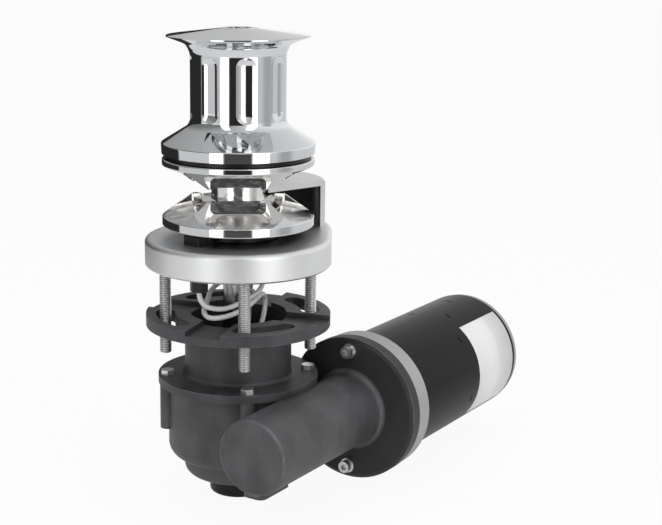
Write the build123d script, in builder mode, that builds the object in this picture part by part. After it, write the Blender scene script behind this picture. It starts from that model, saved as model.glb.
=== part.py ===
from build123d import *
from math import cos, degrees, pi, radians, sin, sqrt, tan
import os

os.makedirs("parts", exist_ok=True)

# Vertical anchor windlass with a warping drum over a chain wheel.
# Z points up along the main shaft, and Z = 0 is the deck plane under the base plate.
# X points along the worm towards the motor. Everything is in millimetres.

# Clearances
running_gap = 0.05
seat_gap = 0.05
parting_gap = 0.3
cone_gap = 0.3

# Base plate, a disc with a lobe that carries the chain pipe
base_radius = 77.0
base_thickness = 23.0
base_top_fillet = 4.0
base_bottom_chamfer = 1.5
lobe_radius = 59.0
lobe_offset = 46.9
lobe_azimuth = 8.8
chain_pipe_radius = 14.0
chain_pipe_offset = 78.0
chain_pipe_chamfer = 2.0

# Hood over the chain pipe, with the stripper that lifts chain out of the wheel
hood_inset = 6.0
hood_wall = 4.0
hood_slab_bottom = 58.0
hood_slab_thickness = 5.0
hood_edge_fillet = 2.5
hood_mouth_angle = -19.0
hood_mouth_offset = 11.8
hood_rear_azimuth = 30.0
hood_wheel_clearance = 1.7
hood_boss_radius = 5.0
hood_boss_angles = (-45.0, 38.0)
hood_screw_radius = 2.5
hood_screw_head_radius = 4.25
hood_screw_head_height = 5.0
hood_screw_engagement = 12.0
stripper_tip_gap = 3.0

# Deck studs, M10, with a wider press-in end in the base plate
stud_radius = 5.0
stud_grip_radius = 6.0
stud_circle_radius = 60.6
stud_count = 4
stud_azimuth = 39.4
stud_grip = 12.0
stud_bottom = -75.0
stud_chamfer = 1.0

# Main shaft, its bushes and its seals
shaft_radius = 12.5
shaft_bottom = -184.0
shaft_shoulder_height = 168.0
shaft_thread_radius = 10.0
shaft_thread_length = 16.0
shaft_chamfer = 1.5
bush_wall = 3.0
base_bush_height = 15.0
base_seal_radius = 20.0
base_seal_height = 6.0
circlip_thickness = 1.5
circlip_radius = 16.0
circlip_groove_depth = 1.0
circlip_opening = 60.0
key_width = 8.0
key_height = 7.0
key_bite = 4.0
cone_key_inset = 2.7
drum_key_length = 23.9
gear_key_length = 20.0

# Chain wheel for 6 mm chain, and the cones that grip it
wheel_lift = 10.3
wheel_height = 55.4
wheel_radius = 62.3
wheel_lower_rim = 7.3
wheel_upper_rim = 5.0
wheel_rim_fillet = 1.2
wheel_core_radius = 22.0
wheel_groove_width = 10.6
wheel_tooth_shoulder_radius = 40.0
pocket_count = 5
pocket_azimuth = -145.1
pocket_seat_radius = 24.5
pocket_seat_length = 37.0
pocket_seat_height = 28.0
pocket_seat_corner = 9.5
pocket_mouth_start = 33.0
pocket_start_half_width = 22.3
pocket_start_half_height = 14.5
pocket_end_half_width = 32.5
pocket_end_half_height = 21.6
pocket_corner_radius = 4.0
cone_seat_depth = 12.7
cone_seat_mouth_radius = 34.0
cone_seat_floor_radius = 27.0
lower_cone_drop = 8.8
upper_cone_flange_radius = 59.5
clutch_gap = 4.1
magnet_radius = 4.0
magnet_height = 4.0

# Warping drum
drum_rim_radius = 62.5
drum_rim_height = 8.3
drum_rim_flare = 0.4
drum_cone_radius = 41.0
drum_cone_height = 21.9
drum_barrel_radius = 39.0
drum_barrel_start = 26.4
drum_barrel_end = 80.2
drum_flange_radius = 58.1
drum_flange_height = 94.4
drum_flange_edge = 0.8
drum_flare_radius = 42.3
drum_flare_height = 87.6
drum_wall = 7.0
drum_hub_radius = 20.0
drum_web_bottom = 64.0
drum_rim_fillet = 1.5
drum_barrel_fillet = 8.0
flute_count = 8
flute_azimuth = -135.6
flute_length = 52.5
flute_depth = 3.3
flute_axis_offset = 11.0
flute_end_length = 8.0

# Clutch nut with a star socket for the lever, and the disc springs under it
nut_radius = 15.9
nut_rise = 0.5
nut_clearance = 4.0
nut_socket_depth = 9.0
nut_socket_radius = 11.0
nut_socket_points = 8
nut_chamfer = 1.0
spring_thickness = 1.0
spring_count = 2
spring_outer_radius = 15.5
spring_cone = 0.4

# Chain sensor through the base plate
sensor_offset = 45.0
sensor_azimuth = 170.2
sensor_thread_radius = 5.0
sensor_head_width = 17.5
sensor_head_depth = 18.0
sensor_head_height = 8.0
sensor_nut_radius = 7.6
sensor_nut_height = 16.0
sensor_nut_recess = 3.0
sensor_recess_gap = 1.0
sensor_corner = 1.5

# Gearbox cover: a deck flange, a neck and the gearcase flange in one casting
plate_radius = 76.8
plate_pad_top = -41.2
plate_pad_height = 3.6
plate_bottom = -51.0
plate_bore_radius = 40.0
neck_radius = 44.6
cover_flange_overhang = 8.3
cover_flange_top = -93.6
cover_flange_bottom = -100.3
cover_floor_top = -86.0
cover_relief = 0.4
cover_fillet = 3.0
slot_width = 16.0
slot_sweep = 36.0
slot_start = -2.0
pad_rim_start = -15.5
pad_rim_end = 52.0
pad_inner_start = -8.0
pad_inner_end = 41.0

# Cover bolts, M6
cover_bolt_radius = 3.0
cover_bolt_overhang = 0.8
cover_bolt_count = 4
cover_bolt_azimuth = 42.2
cover_bolt_engagement = 16.0
cover_bolt_head_radius = 5.77
cover_bolt_head_turns = (12.0, 38.0, 24.0, 50.0)
cover_bolt_head_height = 4.0
cover_boss_radius = 6.5
cover_boss_bottom = -140.0
gasket_thickness = 0.5

# Worm and wheel
gear_module = 2.5
gear_teeth = 40
gear_face = 22.0
gear_addendum = 1.8
gear_dedendum = 2.8
gear_backlash = 0.4
gear_hub_radius = 22.0
gear_hub_top = -104.0
gear_rim_wall = 6.0
gear_web_thickness = 12.0
pressure_angle = 20.0
worm_offset = 73.7
worm_height = -128.5
worm_dedendum = 2.3
worm_turns = 5
worm_thread_sink = 0.4
worm_body_half_length = 26.0
worm_shoulder_radius = 14.0
worm_journal_radius = 10.0
worm_end_gap = 1.0
worm_shaft_end = 68.0
worm_drive_bore_depth = 18.0

# Gearcase
case_radius = 58.7
case_wall = 4.2
case_floor = -158.0
case_shoulder = -164.8
case_shoulder_round = 12.0
case_shoulder_ledge = 1.2
case_foot_radius = 45.5
case_foot_bottom = -181.0
case_foot_round = 9.0
bottom_cap_radius = 24.0
bottom_cap_bottom = -198.0
bottom_cap_round = 3.0
bottom_cap_inner_radius = 17.5
bottom_cap_wall = 4.0
bottom_bush_bottom = -176.0
thrust_washer_radius = 24.0
thrust_washer_thickness = 3.0
tube_radius = 31.0
tube_start = -88.3
tube_end_wall = 4.0
tube_end_round = 3.0
tube_flange_face = 58.9
tube_flange_round = 5.5
tube_pad_inset = 1.0
tube_pad_length = 41.0
tube_pad_width = 20.0
tube_pad_round = 6.0
tube_pad_depth = 8.0
tube_pad_drop = 2.5
flange_edge_radius = 58.7
flange_radius = 61.7
flange_chamfer_depth = 2.0
flange_back = 71.3

# Worm bearings
worm_bearing_radius = 26.0
worm_bearing_width = 15.0
worm_bearing_ring = 5.0
bearing_shield = 1.0
worm_seal_thickness = 7.0

# Motor
motor_gasket_thickness = 0.5
adapter_radius = 61.0
adapter_back = 88.8
adapter_spigot = 6.0
adapter_bore_radius = 12.0
motor_radius = 54.4
motor_wall = 4.0
motor_back = 278.2
end_cap_rim = 5.5
end_cap_spigot = 8.0
end_cap_inset = 0.8
motor_shaft_radius = 8.5
motor_nose_radius = 7.0
drive_key_start = 53.0
drive_key_width = 3.0
drive_key_height = 3.0
motor_bearing_radius = 20.0
motor_bearing_width = 12.0
motor_bearing_ring = 4.0
motor_bearing_hub = 3.5
magnet_arc_start = 118.0
magnet_arc_length = 90.0
magnet_arc_thickness = 7.0
magnet_arc_span = 70.0
magnet_arc_count = 4
armature_gap = 1.3
armature_inset = 3.0
armature_slots = 14
armature_slot_width = 4.0
armature_slot_depth = 12.0
winding_length = 12.0
winding_radius = 35.0
winding_inner_radius = 14.0
commutator_start = 226.0
commutator_length = 20.0
commutator_radius = 19.0
brush_count = 4
brush_width = 8.0
brush_length = 14.0
brush_height = 14.0
brush_gap = 0.3
brush_plate_gap = 0.5
brush_plate_thickness = 3.0
brush_box_wall = 1.5
brush_box_lift = 2.0
brush_box_height = 12.0
tie_bolt_radius = 2.5
tie_bolt_circle_radius = 46.3
tie_bolt_head_radius = 4.6
tie_bolt_head_height = 4.0
tie_bolt_engagement = 8.8
tie_bolt_angles = (45.0, 225.0)
terminal_radius = 4.0
terminal_offset = 30.0
terminal_angles = (0.0, 180.0)
terminal_length = 18.0
terminal_inside = 6.0
terminal_nut_radius = 7.5
terminal_nut_height = 6.5
terminal_washer_radius = 9.0
terminal_washer_thickness = 3.0

# Flange screws, M6 socket heads
flange_screw_radius = 3.0
flange_screw_circle_radius = 51.0
flange_screw_angles = (90.0, -90.0)
flange_screw_head_radius = 5.0
flange_screw_head_height = 6.0
flange_screw_socket_radius = 2.9
flange_screw_engagement = 10.0
flange_washer_radius = 6.3
flange_washer_thickness = 1.4

# Sensor lead
lead_diameter = 4.2
lead_route = [
    (-44.3, 7.7, -16.0),
    (-44.3, 7.7, -28.0),
    (-36.0, -10.0, -31.5),
    (-19.0, -18.5, -26.5),
    (2.0, -20.0, -22.0),
    (21.5, -11.5, -17.5),
    (30.0, 7.0, -15.5),
    (21.5, 25.5, -19.5),
    (1.5, 29.5, -26.5),
    (-16.5, 20.0, -33.0),
    (-35.0, 11.0, -36.0),
    (-46.5, -4.0, -37.5),
    (-35.5, -19.0, -34.5),
    (-16.0, -24.0, -28.5),
    (4.0, -20.5, -23.5),
    (17.5, -15.5, -29.0),
    (16.5, -15.5, -43.0),
    (3.5, -20.0, -53.0),
    (-10.5, -25.0, -66.0),
    (-22.5, -19.5, -77.5),
    (-28.0, -8.0, -82.0),
    (-26.5, 5.0, -82.0),
]
plug_radius = 4.0
plug_length = 16.0


def polar(radius, azimuth, height=0.0):
    """Point at a radius and an azimuth in degrees about the main shaft."""
    return (radius * cos(radians(azimuth)), radius * sin(radians(azimuth)), height)


def turn(points, rounds=(), plane=Plane.XZ, axis=Axis.Z):
    """Revolve a closed (radius, height) profile, with rounds given as (corner, radius)."""
    with BuildSketch(plane) as profile:
        with BuildLine():
            Polyline(*points, close=True)
        make_face()
        for corner, radius in rounds:
            fillet(profile.vertices().sort_by_distance((*points[corner], 0))[0], radius)
    revolve(profile.sketch, axis=axis)


def ring(inner, outer, low, high, plane=Plane.XZ, axis=Axis.Z):
    """Turn a plain ring between two radii and two heights."""
    turn([(inner, low), (outer, low), (outer, high), (inner, high)], (), plane, axis)


def bore(radius, low, high, spot=(0.0, 0.0)):
    """Cut a vertical round hole between two heights."""
    with Locations((spot[0], spot[1], low)):
        Cylinder(radius, high - low, align=(Align.CENTER, Align.CENTER, Align.MIN), mode=Mode.SUBTRACT)


# Heights and radii that follow from the sizes above
wheel_bottom = base_thickness + wheel_lift
wheel_top = wheel_bottom + wheel_height
groove_low = wheel_bottom + wheel_lower_rim
groove_high = wheel_top - wheel_upper_rim
wheel_middle = (groove_low + groove_high) / 2
drum_bottom = wheel_top + clutch_gap
bush_radius = shaft_radius + bush_wall
bush_bore = shaft_radius + running_gap
key_bottom_radius = shaft_radius - key_bite
key_top_radius = key_bottom_radius + key_height
lobe_centre = polar(lobe_offset, lobe_azimuth)
pipe_spot = polar(chain_pipe_offset, lobe_azimuth)
sensor_spot = polar(sensor_offset, sensor_azimuth)
magnet_spot = polar(sensor_offset, pocket_azimuth + 180 / pocket_count)
stud_azimuths = [stud_azimuth + 360 / stud_count * i for i in range(stud_count)]
stud_spots = [polar(stud_circle_radius, azimuth) for azimuth in stud_azimuths]
cover_flange_radius = case_radius + cover_flange_overhang
cover_bolt_circle_radius = case_radius + cover_bolt_overhang
cover_bolt_azimuths = [cover_bolt_azimuth + 360 / cover_bolt_count * i for i in range(cover_bolt_count)]
cover_bolt_spots = [polar(cover_bolt_circle_radius, azimuth) for azimuth in cover_bolt_azimuths]
hood_radius = lobe_radius - hood_inset
hood_boss_ring = [polar(hood_radius - hood_boss_radius, angle) for angle in hood_boss_angles]
hood_screw_spots = [(lobe_centre[0] + step[0], lobe_centre[1] + step[1]) for step in hood_boss_ring]
hood_bore_top = base_thickness + hood_screw_engagement + seat_gap
spring_stack = spring_cone + spring_count * (spring_thickness + seat_gap)
shaft_top = shaft_shoulder_height + shaft_thread_length
nut_bottom = shaft_shoulder_height + nut_clearance
nut_top = shaft_top + nut_socket_depth
drum_crown = nut_top - nut_rise
nut_seat = nut_bottom - spring_stack
case_top = cover_flange_bottom - gasket_thickness
shoulder_round = min(case_shoulder_round, case_radius - case_foot_radius - case_shoulder_ledge)
worm_line = Axis((0, -worm_offset, worm_height), (1, 0, 0))
worm_section = Plane(origin=(0, -worm_offset, worm_height), x_dir=(0, 0, 1), z_dir=(0, 1, 0))
gear_pitch_radius = gear_module * gear_teeth / 2
gear_tip_radius = gear_pitch_radius + gear_addendum
gear_root_radius = gear_pitch_radius - gear_dedendum
worm_pitch_radius = worm_offset - gear_pitch_radius
worm_tip_radius = worm_pitch_radius + gear_addendum
worm_root_radius = worm_pitch_radius - worm_dedendum
worm_lead = pi * gear_module
tube_bore = worm_bearing_radius + seat_gap
bearing_front = tube_start + tube_end_wall
bearing_seat = tube_flange_face - worm_bearing_width
adapter_front = flange_back + motor_gasket_thickness
can_inner = motor_radius - motor_wall
cap_front = motor_back - end_cap_rim
sensor_recess_radius = sensor_nut_radius + sensor_recess_gap


def keyway(low, high):
    """Cut the keyway into what is being built, from a little over the key down to its floor."""
    length = high - low
    with Locations(((key_bottom_radius + key_top_radius) / 2, 0, low)):
        Box(
            key_height + 2 * seat_gap,
            key_width + 2 * seat_gap,
            length,
            align=(Align.CENTER, Align.CENTER, Align.MIN),
            mode=Mode.SUBTRACT,
        )


def worm_face(place):
    """Plane across the worm line at a place along X, with its own x along Y and its own y up."""
    return Plane(origin=(place, -worm_offset, worm_height), x_dir=(0, 1, 0), z_dir=(1, 0, 0))


def drill(radius, low, high, circle, angles):
    """Cut holes along the worm line between two places, on a circle about that line."""
    with BuildSketch(worm_face(low)) as holes:
        with Locations([polar(circle, angle)[:2] for angle in angles]):
            Circle(radius)
    extrude(holes.sketch, amount=high - low, mode=Mode.SUBTRACT)


def rods(radius, low, high, circle, angles):
    """Add round bars along the worm line between two places, on a circle about that line."""
    with BuildSketch(worm_face(low)) as bars:
        with Locations([polar(circle, angle)[:2] for angle in angles]):
            Circle(radius)
    extrude(bars.sketch, amount=high - low)


def drive_keyway(low, high):
    """Cut the keyway of the motor's nose between two places along the worm line."""
    with BuildSketch(worm_face(low)) as slot:
        with Locations((motor_nose_radius, 0)):
            Rectangle(drive_key_height + 2 * seat_gap, drive_key_width + 2 * seat_gap)
    extrude(slot.sketch, amount=high - low, mode=Mode.SUBTRACT)


# Base plate
with BuildPart() as base_plate:
    with BuildSketch():
        Circle(base_radius)
        with Locations(lobe_centre[:2]):
            Circle(lobe_radius)
        make_hull()
    extrude(amount=base_thickness)
    fillet(base_plate.faces().sort_by(Axis.Z)[-1].edges(), base_top_fillet)
    chamfer(base_plate.faces().sort_by(Axis.Z)[0].edges(), base_bottom_chamfer)
    bore(bush_radius + seat_gap, 0, base_thickness)
    bore(base_seal_radius + seat_gap, base_bush_height, base_thickness)
    bore(sensor_thread_radius + seat_gap, 0, base_thickness, sensor_spot)
    bore(sensor_recess_radius, 0, sensor_nut_recess, sensor_spot)
    for spot in stud_spots:
        bore(stud_grip_radius + seat_gap, 0, stud_grip + seat_gap, spot)
    with Locations((pipe_spot[0], pipe_spot[1], base_thickness)):
        CounterSinkHole(chain_pipe_radius, chain_pipe_radius + chain_pipe_chamfer, counter_sink_angle=90)
    for spot in hood_screw_spots:
        bore(hood_screw_radius + seat_gap, 0, base_thickness, spot)
        bore(hood_screw_head_radius + seat_gap, 0, hood_screw_head_height + seat_gap, spot)
base_plate.part.label = "base_plate"
export_step(base_plate.part, "parts/base_plate.step")

# Hood: an outer wall on the lobe, a rear wall and a slab that reaches into the wheel's groove
mouth_direction = (cos(radians(hood_mouth_angle)), sin(radians(hood_mouth_angle)))
mouth_origin = (hood_mouth_offset * mouth_direction[1], -hood_mouth_offset * mouth_direction[0])
rear_direction = polar(1.0, hood_rear_azimuth)
hood_reach = 2 * base_radius
hood_sector = [
    mouth_origin,
    tuple(mouth_origin[i] + hood_reach * mouth_direction[i] for i in range(2)),
    tuple(hood_reach * (mouth_direction[i] + rear_direction[i]) for i in range(2)),
    tuple(hood_reach * rear_direction[i] for i in range(2)),
    (0.0, 0.0),
]
with BuildPart() as chain_hood:
    with BuildSketch(Plane.XY.offset(hood_slab_bottom)):
        with BuildLine():
            Polyline(*hood_sector, close=True)
        make_face()
        with Locations(lobe_centre[:2]):
            Circle(hood_radius, mode=Mode.INTERSECT)
        Circle(wheel_core_radius + stripper_tip_gap, mode=Mode.SUBTRACT)
    extrude(amount=hood_slab_thickness)
    with BuildSketch(Plane.XY.offset(base_thickness)):
        with BuildLine():
            Polyline(*hood_sector, close=True)
        make_face()
        with Locations(lobe_centre[:2]):
            Circle(hood_radius, mode=Mode.INTERSECT)
        with Locations(lobe_centre[:2]):
            Circle(hood_radius - hood_wall, mode=Mode.SUBTRACT)
        with Locations((*polar(base_radius, hood_rear_azimuth)[:2],)):
            Rectangle(base_radius, 2 * hood_wall, rotation=hood_rear_azimuth)
        with Locations(hood_screw_spots):
            Circle(hood_boss_radius)
        with BuildLine():
            Polyline(*hood_sector, close=True)
        make_face(mode=Mode.INTERSECT)
        with Locations(lobe_centre[:2]):
            Circle(hood_radius, mode=Mode.INTERSECT)
        Circle(wheel_radius + hood_wheel_clearance, mode=Mode.SUBTRACT)
    extrude(amount=hood_slab_bottom - base_thickness)
    crown = chain_hood.edges().filter_by(GeomType.CIRCLE).group_by(Axis.Z)[-1]
    fillet(crown.sort_by(lambda edge: edge.radius)[-1], hood_edge_fillet)
    for spot in hood_screw_spots:
        bore(hood_screw_radius + seat_gap, base_thickness, hood_bore_top, spot)
chain_hood.part.label = "chain_hood"
export_step(chain_hood.part, "parts/chain_hood.step")

# Screws that hold the hood from below
with BuildPart() as hood_screws:
    for spot in hood_screw_spots:
        with Locations((spot[0], spot[1], hood_screw_head_height)):
            Cylinder(
                hood_screw_radius,
                base_thickness + hood_screw_engagement - hood_screw_head_height,
                align=(Align.CENTER, Align.CENTER, Align.MIN),
            )
            Cylinder(
                hood_screw_head_radius,
                hood_screw_head_height - parting_gap,
                align=(Align.CENTER, Align.CENTER, Align.MAX),
            )
hood_screws.part.label = "hood_screws"
export_step(hood_screws.part, "parts/hood_screws.step")

# Deck studs
with BuildPart() as deck_studs:
    for spot in stud_spots:
        with Locations((spot[0], spot[1], stud_bottom)):
            Cylinder(stud_radius, -stud_bottom, align=(Align.CENTER, Align.CENTER, Align.MIN))
        with Locations((spot[0], spot[1], 0)):
            Cylinder(stud_grip_radius, stud_grip, align=(Align.CENTER, Align.CENTER, Align.MIN))
    chamfer(deck_studs.edges().filter_by(GeomType.CIRCLE).group_by(Axis.Z)[0], stud_chamfer)
deck_studs.part.label = "deck_studs"
export_step(deck_studs.part, "parts/deck_studs.step")

# Bush and seal that carry the shaft through the base plate
with BuildPart() as base_bush:
    ring(bush_bore, bush_radius, 0, base_bush_height)
base_bush.part.label = "base_bush"
export_step(base_bush.part, "parts/base_bush.step")

with BuildPart() as base_seal:
    ring(bush_bore, base_seal_radius, base_bush_height, base_bush_height + base_seal_height)
base_seal.part.label = "base_seal"
export_step(base_seal.part, "parts/base_seal.step")

# Chain sensor: a head under the wheel, a stem through the plate and a nut below it
stem_bottom = -0.75 * sensor_nut_height
with BuildPart() as chain_sensor:
    with BuildSketch(Plane.XY.offset(base_thickness)):
        with Locations(sensor_spot[:2]):
            Rectangle(sensor_head_depth, sensor_head_width, rotation=sensor_azimuth)
    extrude(amount=sensor_head_height)
    fillet(chain_sensor.edges().filter_by(Axis.Z), sensor_corner)
    fillet(chain_sensor.faces().sort_by(Axis.Z)[-1].edges(), sensor_corner)
    with Locations((sensor_spot[0], sensor_spot[1], stem_bottom)):
        Cylinder(
            sensor_thread_radius,
            base_thickness - stem_bottom,
            align=(Align.CENTER, Align.CENTER, Align.MIN),
        )
chain_sensor.part.label = "chain_sensor"
export_step(chain_sensor.part, "parts/chain_sensor.step")

with BuildPart() as sensor_nut:
    with BuildSketch(Plane.XY.offset(-sensor_nut_height)):
        with Locations(sensor_spot[:2]):
            RegularPolygon(sensor_nut_radius, 6, rotation=sensor_azimuth)
    extrude(amount=sensor_nut_height + sensor_nut_recess)
    bore(sensor_thread_radius + seat_gap, stem_bottom - seat_gap, sensor_nut_recess, sensor_spot)
sensor_nut.part.label = "sensor_nut"
export_step(sensor_nut.part, "parts/sensor_nut.step")

# Sensor lead: straight runs joined by arcs as large as the two runs beside them allow
lead_points = [Vector(*point) for point in lead_route]
lead_radii = []
for before, here, after in zip(lead_points, lead_points[1:], lead_points[2:]):
    half_turn = radians((here - before).get_angle(after - here)) / 2
    lead_radii.append(0.45 * min((here - before).length, (after - here).length) / tan(half_turn))
print("lead bend radii:", [round(radius, 1) for radius in lead_radii])
with BuildPart() as sensor_lead:
    with BuildLine() as lead_path:
        FilletPolyline(*lead_points, radius=lead_radii)
    with BuildSketch(lead_path.wires()[0] ^ 0):
        Circle(lead_diameter / 2)
    sweep()
lead_length = lead_path.wires()[0].length
print("lead length:", round(lead_length, 1), "tube volume:", round(sensor_lead.part.volume, 1))
print("section times length:", round(pi * lead_diameter**2 / 4 * lead_length, 1))
sensor_lead.part.label = "sensor_lead"
export_step(sensor_lead.part, "parts/sensor_lead.step")

lead_end = lead_points[-1]
lead_heading = (lead_points[-1] - lead_points[-2]).normalized()
with BuildPart() as lead_plug:
    with BuildSketch(Plane(origin=lead_end, z_dir=lead_heading)):
        Circle(plug_radius)
    extrude(amount=plug_length)
    fillet(lead_plug.edges(), sensor_corner / 2)
lead_plug.part.label = "lead_plug"
export_step(lead_plug.part, "parts/lead_plug.step")

# Main shaft with keyways, circlip grooves and a threaded top for the clutch nut
lower_cone_bottom = wheel_bottom - lower_cone_drop
upper_circlip = lower_cone_bottom - circlip_thickness - seat_gap
lower_circlip = bottom_bush_bottom - circlip_thickness - parting_gap
circlip_spots = (upper_circlip, lower_circlip)
key_spans = (
    (lower_cone_bottom + cone_key_inset, wheel_bottom + cone_seat_depth - cone_key_inset),
    (wheel_top - cone_seat_depth + cone_key_inset, drum_bottom + drum_key_length),
    (worm_height - gear_key_length / 2, worm_height + gear_key_length / 2),
)
with BuildPart() as main_shaft:
    turn(
        [
            (0, shaft_bottom),
            (shaft_radius, shaft_bottom),
            (shaft_radius, shaft_shoulder_height),
            (shaft_thread_radius, shaft_shoulder_height),
            (shaft_thread_radius, shaft_top),
            (0, shaft_top),
        ]
    )
    chamfer(main_shaft.faces().sort_by(Axis.Z)[0].edges(), shaft_chamfer)
    chamfer(main_shaft.faces().sort_by(Axis.Z)[-1].edges(), shaft_chamfer)
    for low, high in key_spans:
        keyway(low - seat_gap, high + seat_gap)
    for low in circlip_spots:
        with BuildSketch(Plane.XY.offset(low - seat_gap)):
            Circle(shaft_radius + 1)
            Circle(shaft_radius - circlip_groove_depth, mode=Mode.SUBTRACT)
        extrude(amount=circlip_thickness + 2 * seat_gap, mode=Mode.SUBTRACT)
main_shaft.part.label = "main_shaft"
export_step(main_shaft.part, "parts/main_shaft.step")

with BuildPart() as shaft_keys:
    for low, high in key_spans:
        with Locations((key_bottom_radius, 0, low)):
            Box(key_height, key_width, high - low, align=(Align.MIN, Align.CENTER, Align.MIN))
shaft_keys.part.label = "shaft_keys"
export_step(shaft_keys.part, "parts/shaft_keys.step")

with BuildPart() as shaft_circlips:
    for low in circlip_spots:
        with BuildSketch(Plane.XY.offset(low)):
            Circle(circlip_radius)
            Circle(shaft_radius - circlip_groove_depth + seat_gap, mode=Mode.SUBTRACT)
            with BuildLine():
                half_opening = circlip_opening / 2
                opening = [polar(2 * circlip_radius, 180 + side * half_opening)[:2] for side in (-1, 1)]
                Polyline((0, 0), *opening, close=True)
            make_face(mode=Mode.SUBTRACT)
        extrude(amount=circlip_thickness)
shaft_circlips.part.label = "shaft_circlips"
export_step(shaft_circlips.part, "parts/shaft_circlips.step")

# Cones that grip the chain wheel between them
cone_slope = (cone_seat_mouth_radius - cone_seat_floor_radius) / cone_seat_depth
cone_shrink = cone_gap * sqrt(1 + cone_slope**2)
cone_tip_radius = cone_seat_floor_radius - cone_shrink + cone_slope * parting_gap
with BuildPart() as lower_cone:
    turn(
        [
            (bush_bore, lower_cone_bottom),
            (cone_seat_mouth_radius - cone_shrink, lower_cone_bottom),
            (cone_seat_mouth_radius - cone_shrink, wheel_bottom),
            (cone_tip_radius, wheel_bottom + cone_seat_depth - parting_gap),
            (bush_bore, wheel_bottom + cone_seat_depth - parting_gap),
        ]
    )
    keyway(lower_cone_bottom, wheel_bottom + cone_seat_depth)
lower_cone.part.label = "lower_cone"
export_step(lower_cone.part, "parts/lower_cone.step")

with BuildPart() as upper_cone:
    turn(
        [
            (bush_bore, wheel_top - cone_seat_depth + parting_gap),
            (cone_tip_radius, wheel_top - cone_seat_depth + parting_gap),
            (cone_seat_mouth_radius - cone_shrink - cone_slope * parting_gap, wheel_top + parting_gap),
            (upper_cone_flange_radius, wheel_top + parting_gap),
            (upper_cone_flange_radius, drum_bottom),
            (bush_bore, drum_bottom),
        ]
    )
    keyway(wheel_top - cone_seat_depth, drum_bottom)
upper_cone.part.label = "upper_cone"
export_step(upper_cone.part, "parts/upper_cone.step")

# Chain wheel: a vee groove with pockets that seat every second link of the chain
with BuildPart() as pocket_cutter:
    with BuildSketch(Plane.YZ.offset(pocket_mouth_start)):
        with Locations((0, wheel_middle)):
            RectangleRounded(2 * pocket_start_half_width, 2 * pocket_start_half_height, pocket_corner_radius)
    with BuildSketch(Plane.YZ.offset(wheel_radius + 1)):
        with Locations((0, wheel_middle)):
            RectangleRounded(2 * pocket_end_half_width, 2 * pocket_end_half_height, pocket_corner_radius)
    loft()
    with BuildSketch(Plane.YZ.offset(pocket_seat_radius)):
        with Locations((0, wheel_middle)):
            RectangleRounded(pocket_seat_length, pocket_seat_height, pocket_seat_corner)
    extrude(amount=pocket_mouth_start - pocket_seat_radius + 1)

with BuildPart() as chain_wheel:
    turn(
        [
            (bush_radius + seat_gap, wheel_bottom + cone_seat_depth),
            (cone_seat_floor_radius, wheel_bottom + cone_seat_depth),
            (cone_seat_mouth_radius, wheel_bottom),
            (wheel_radius, wheel_bottom),
            (wheel_radius, groove_low),
            (wheel_tooth_shoulder_radius, wheel_middle - wheel_groove_width / 2),
            (wheel_core_radius, wheel_middle - wheel_groove_width / 2),
            (wheel_core_radius, wheel_middle + wheel_groove_width / 2),
            (wheel_tooth_shoulder_radius, wheel_middle + wheel_groove_width / 2),
            (wheel_radius, groove_high),
            (wheel_radius, wheel_top),
            (cone_seat_mouth_radius, wheel_top),
            (cone_seat_floor_radius, wheel_top - cone_seat_depth),
            (bush_radius + seat_gap, wheel_top - cone_seat_depth),
        ],
        [(corner, wheel_rim_fillet) for corner in (3, 4, 9, 10)],
    )
    with PolarLocations(0, pocket_count, start_angle=pocket_azimuth):
        add(pocket_cutter.part, mode=Mode.SUBTRACT)
    bore(magnet_radius + seat_gap, wheel_bottom, wheel_bottom + magnet_height + seat_gap, magnet_spot)
chain_wheel.part.label = "chain_wheel"
export_step(chain_wheel.part, "parts/chain_wheel.step")

with BuildPart() as wheel_magnet:
    with Locations((magnet_spot[0], magnet_spot[1], wheel_bottom)):
        Cylinder(magnet_radius, magnet_height, align=(Align.CENTER, Align.CENTER, Align.MIN))
wheel_magnet.part.label = "wheel_magnet"
export_step(wheel_magnet.part, "parts/wheel_magnet.step")

with BuildPart() as wheel_bush:
    ring(bush_bore, bush_radius, wheel_bottom + cone_seat_depth, wheel_top - cone_seat_depth)
wheel_bush.part.label = "wheel_bush"
export_step(wheel_bush.part, "parts/wheel_bush.step")

# Warping drum: a hollow turned casting with scooped flutes round its barrel
with BuildPart() as flute_cutter:
    flute_axis_radius = drum_barrel_radius + flute_axis_offset
    flute_floor = flute_axis_radius + flute_axis_offset + flute_depth
    flute_end = flute_axis_radius + flute_axis_offset
    half_flute = flute_length / 2
    with BuildSketch(Plane.XZ):
        with BuildLine():
            side = Line(
                (flute_floor, -half_flute + flute_end_length),
                (flute_floor, half_flute - flute_end_length),
            )
            upper = TangentArc(side @ 1, (flute_end, half_flute), tangent=(0, 1))
            lower = TangentArc(side @ 0, (flute_end, -half_flute), tangent=(0, -1))
            Polyline(upper @ 1, (flute_axis_radius, half_flute), (flute_axis_radius, -half_flute), lower @ 1)
        make_face()
    revolve(axis=Axis((flute_axis_radius, 0, 0), (0, 0, 1)))

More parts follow.
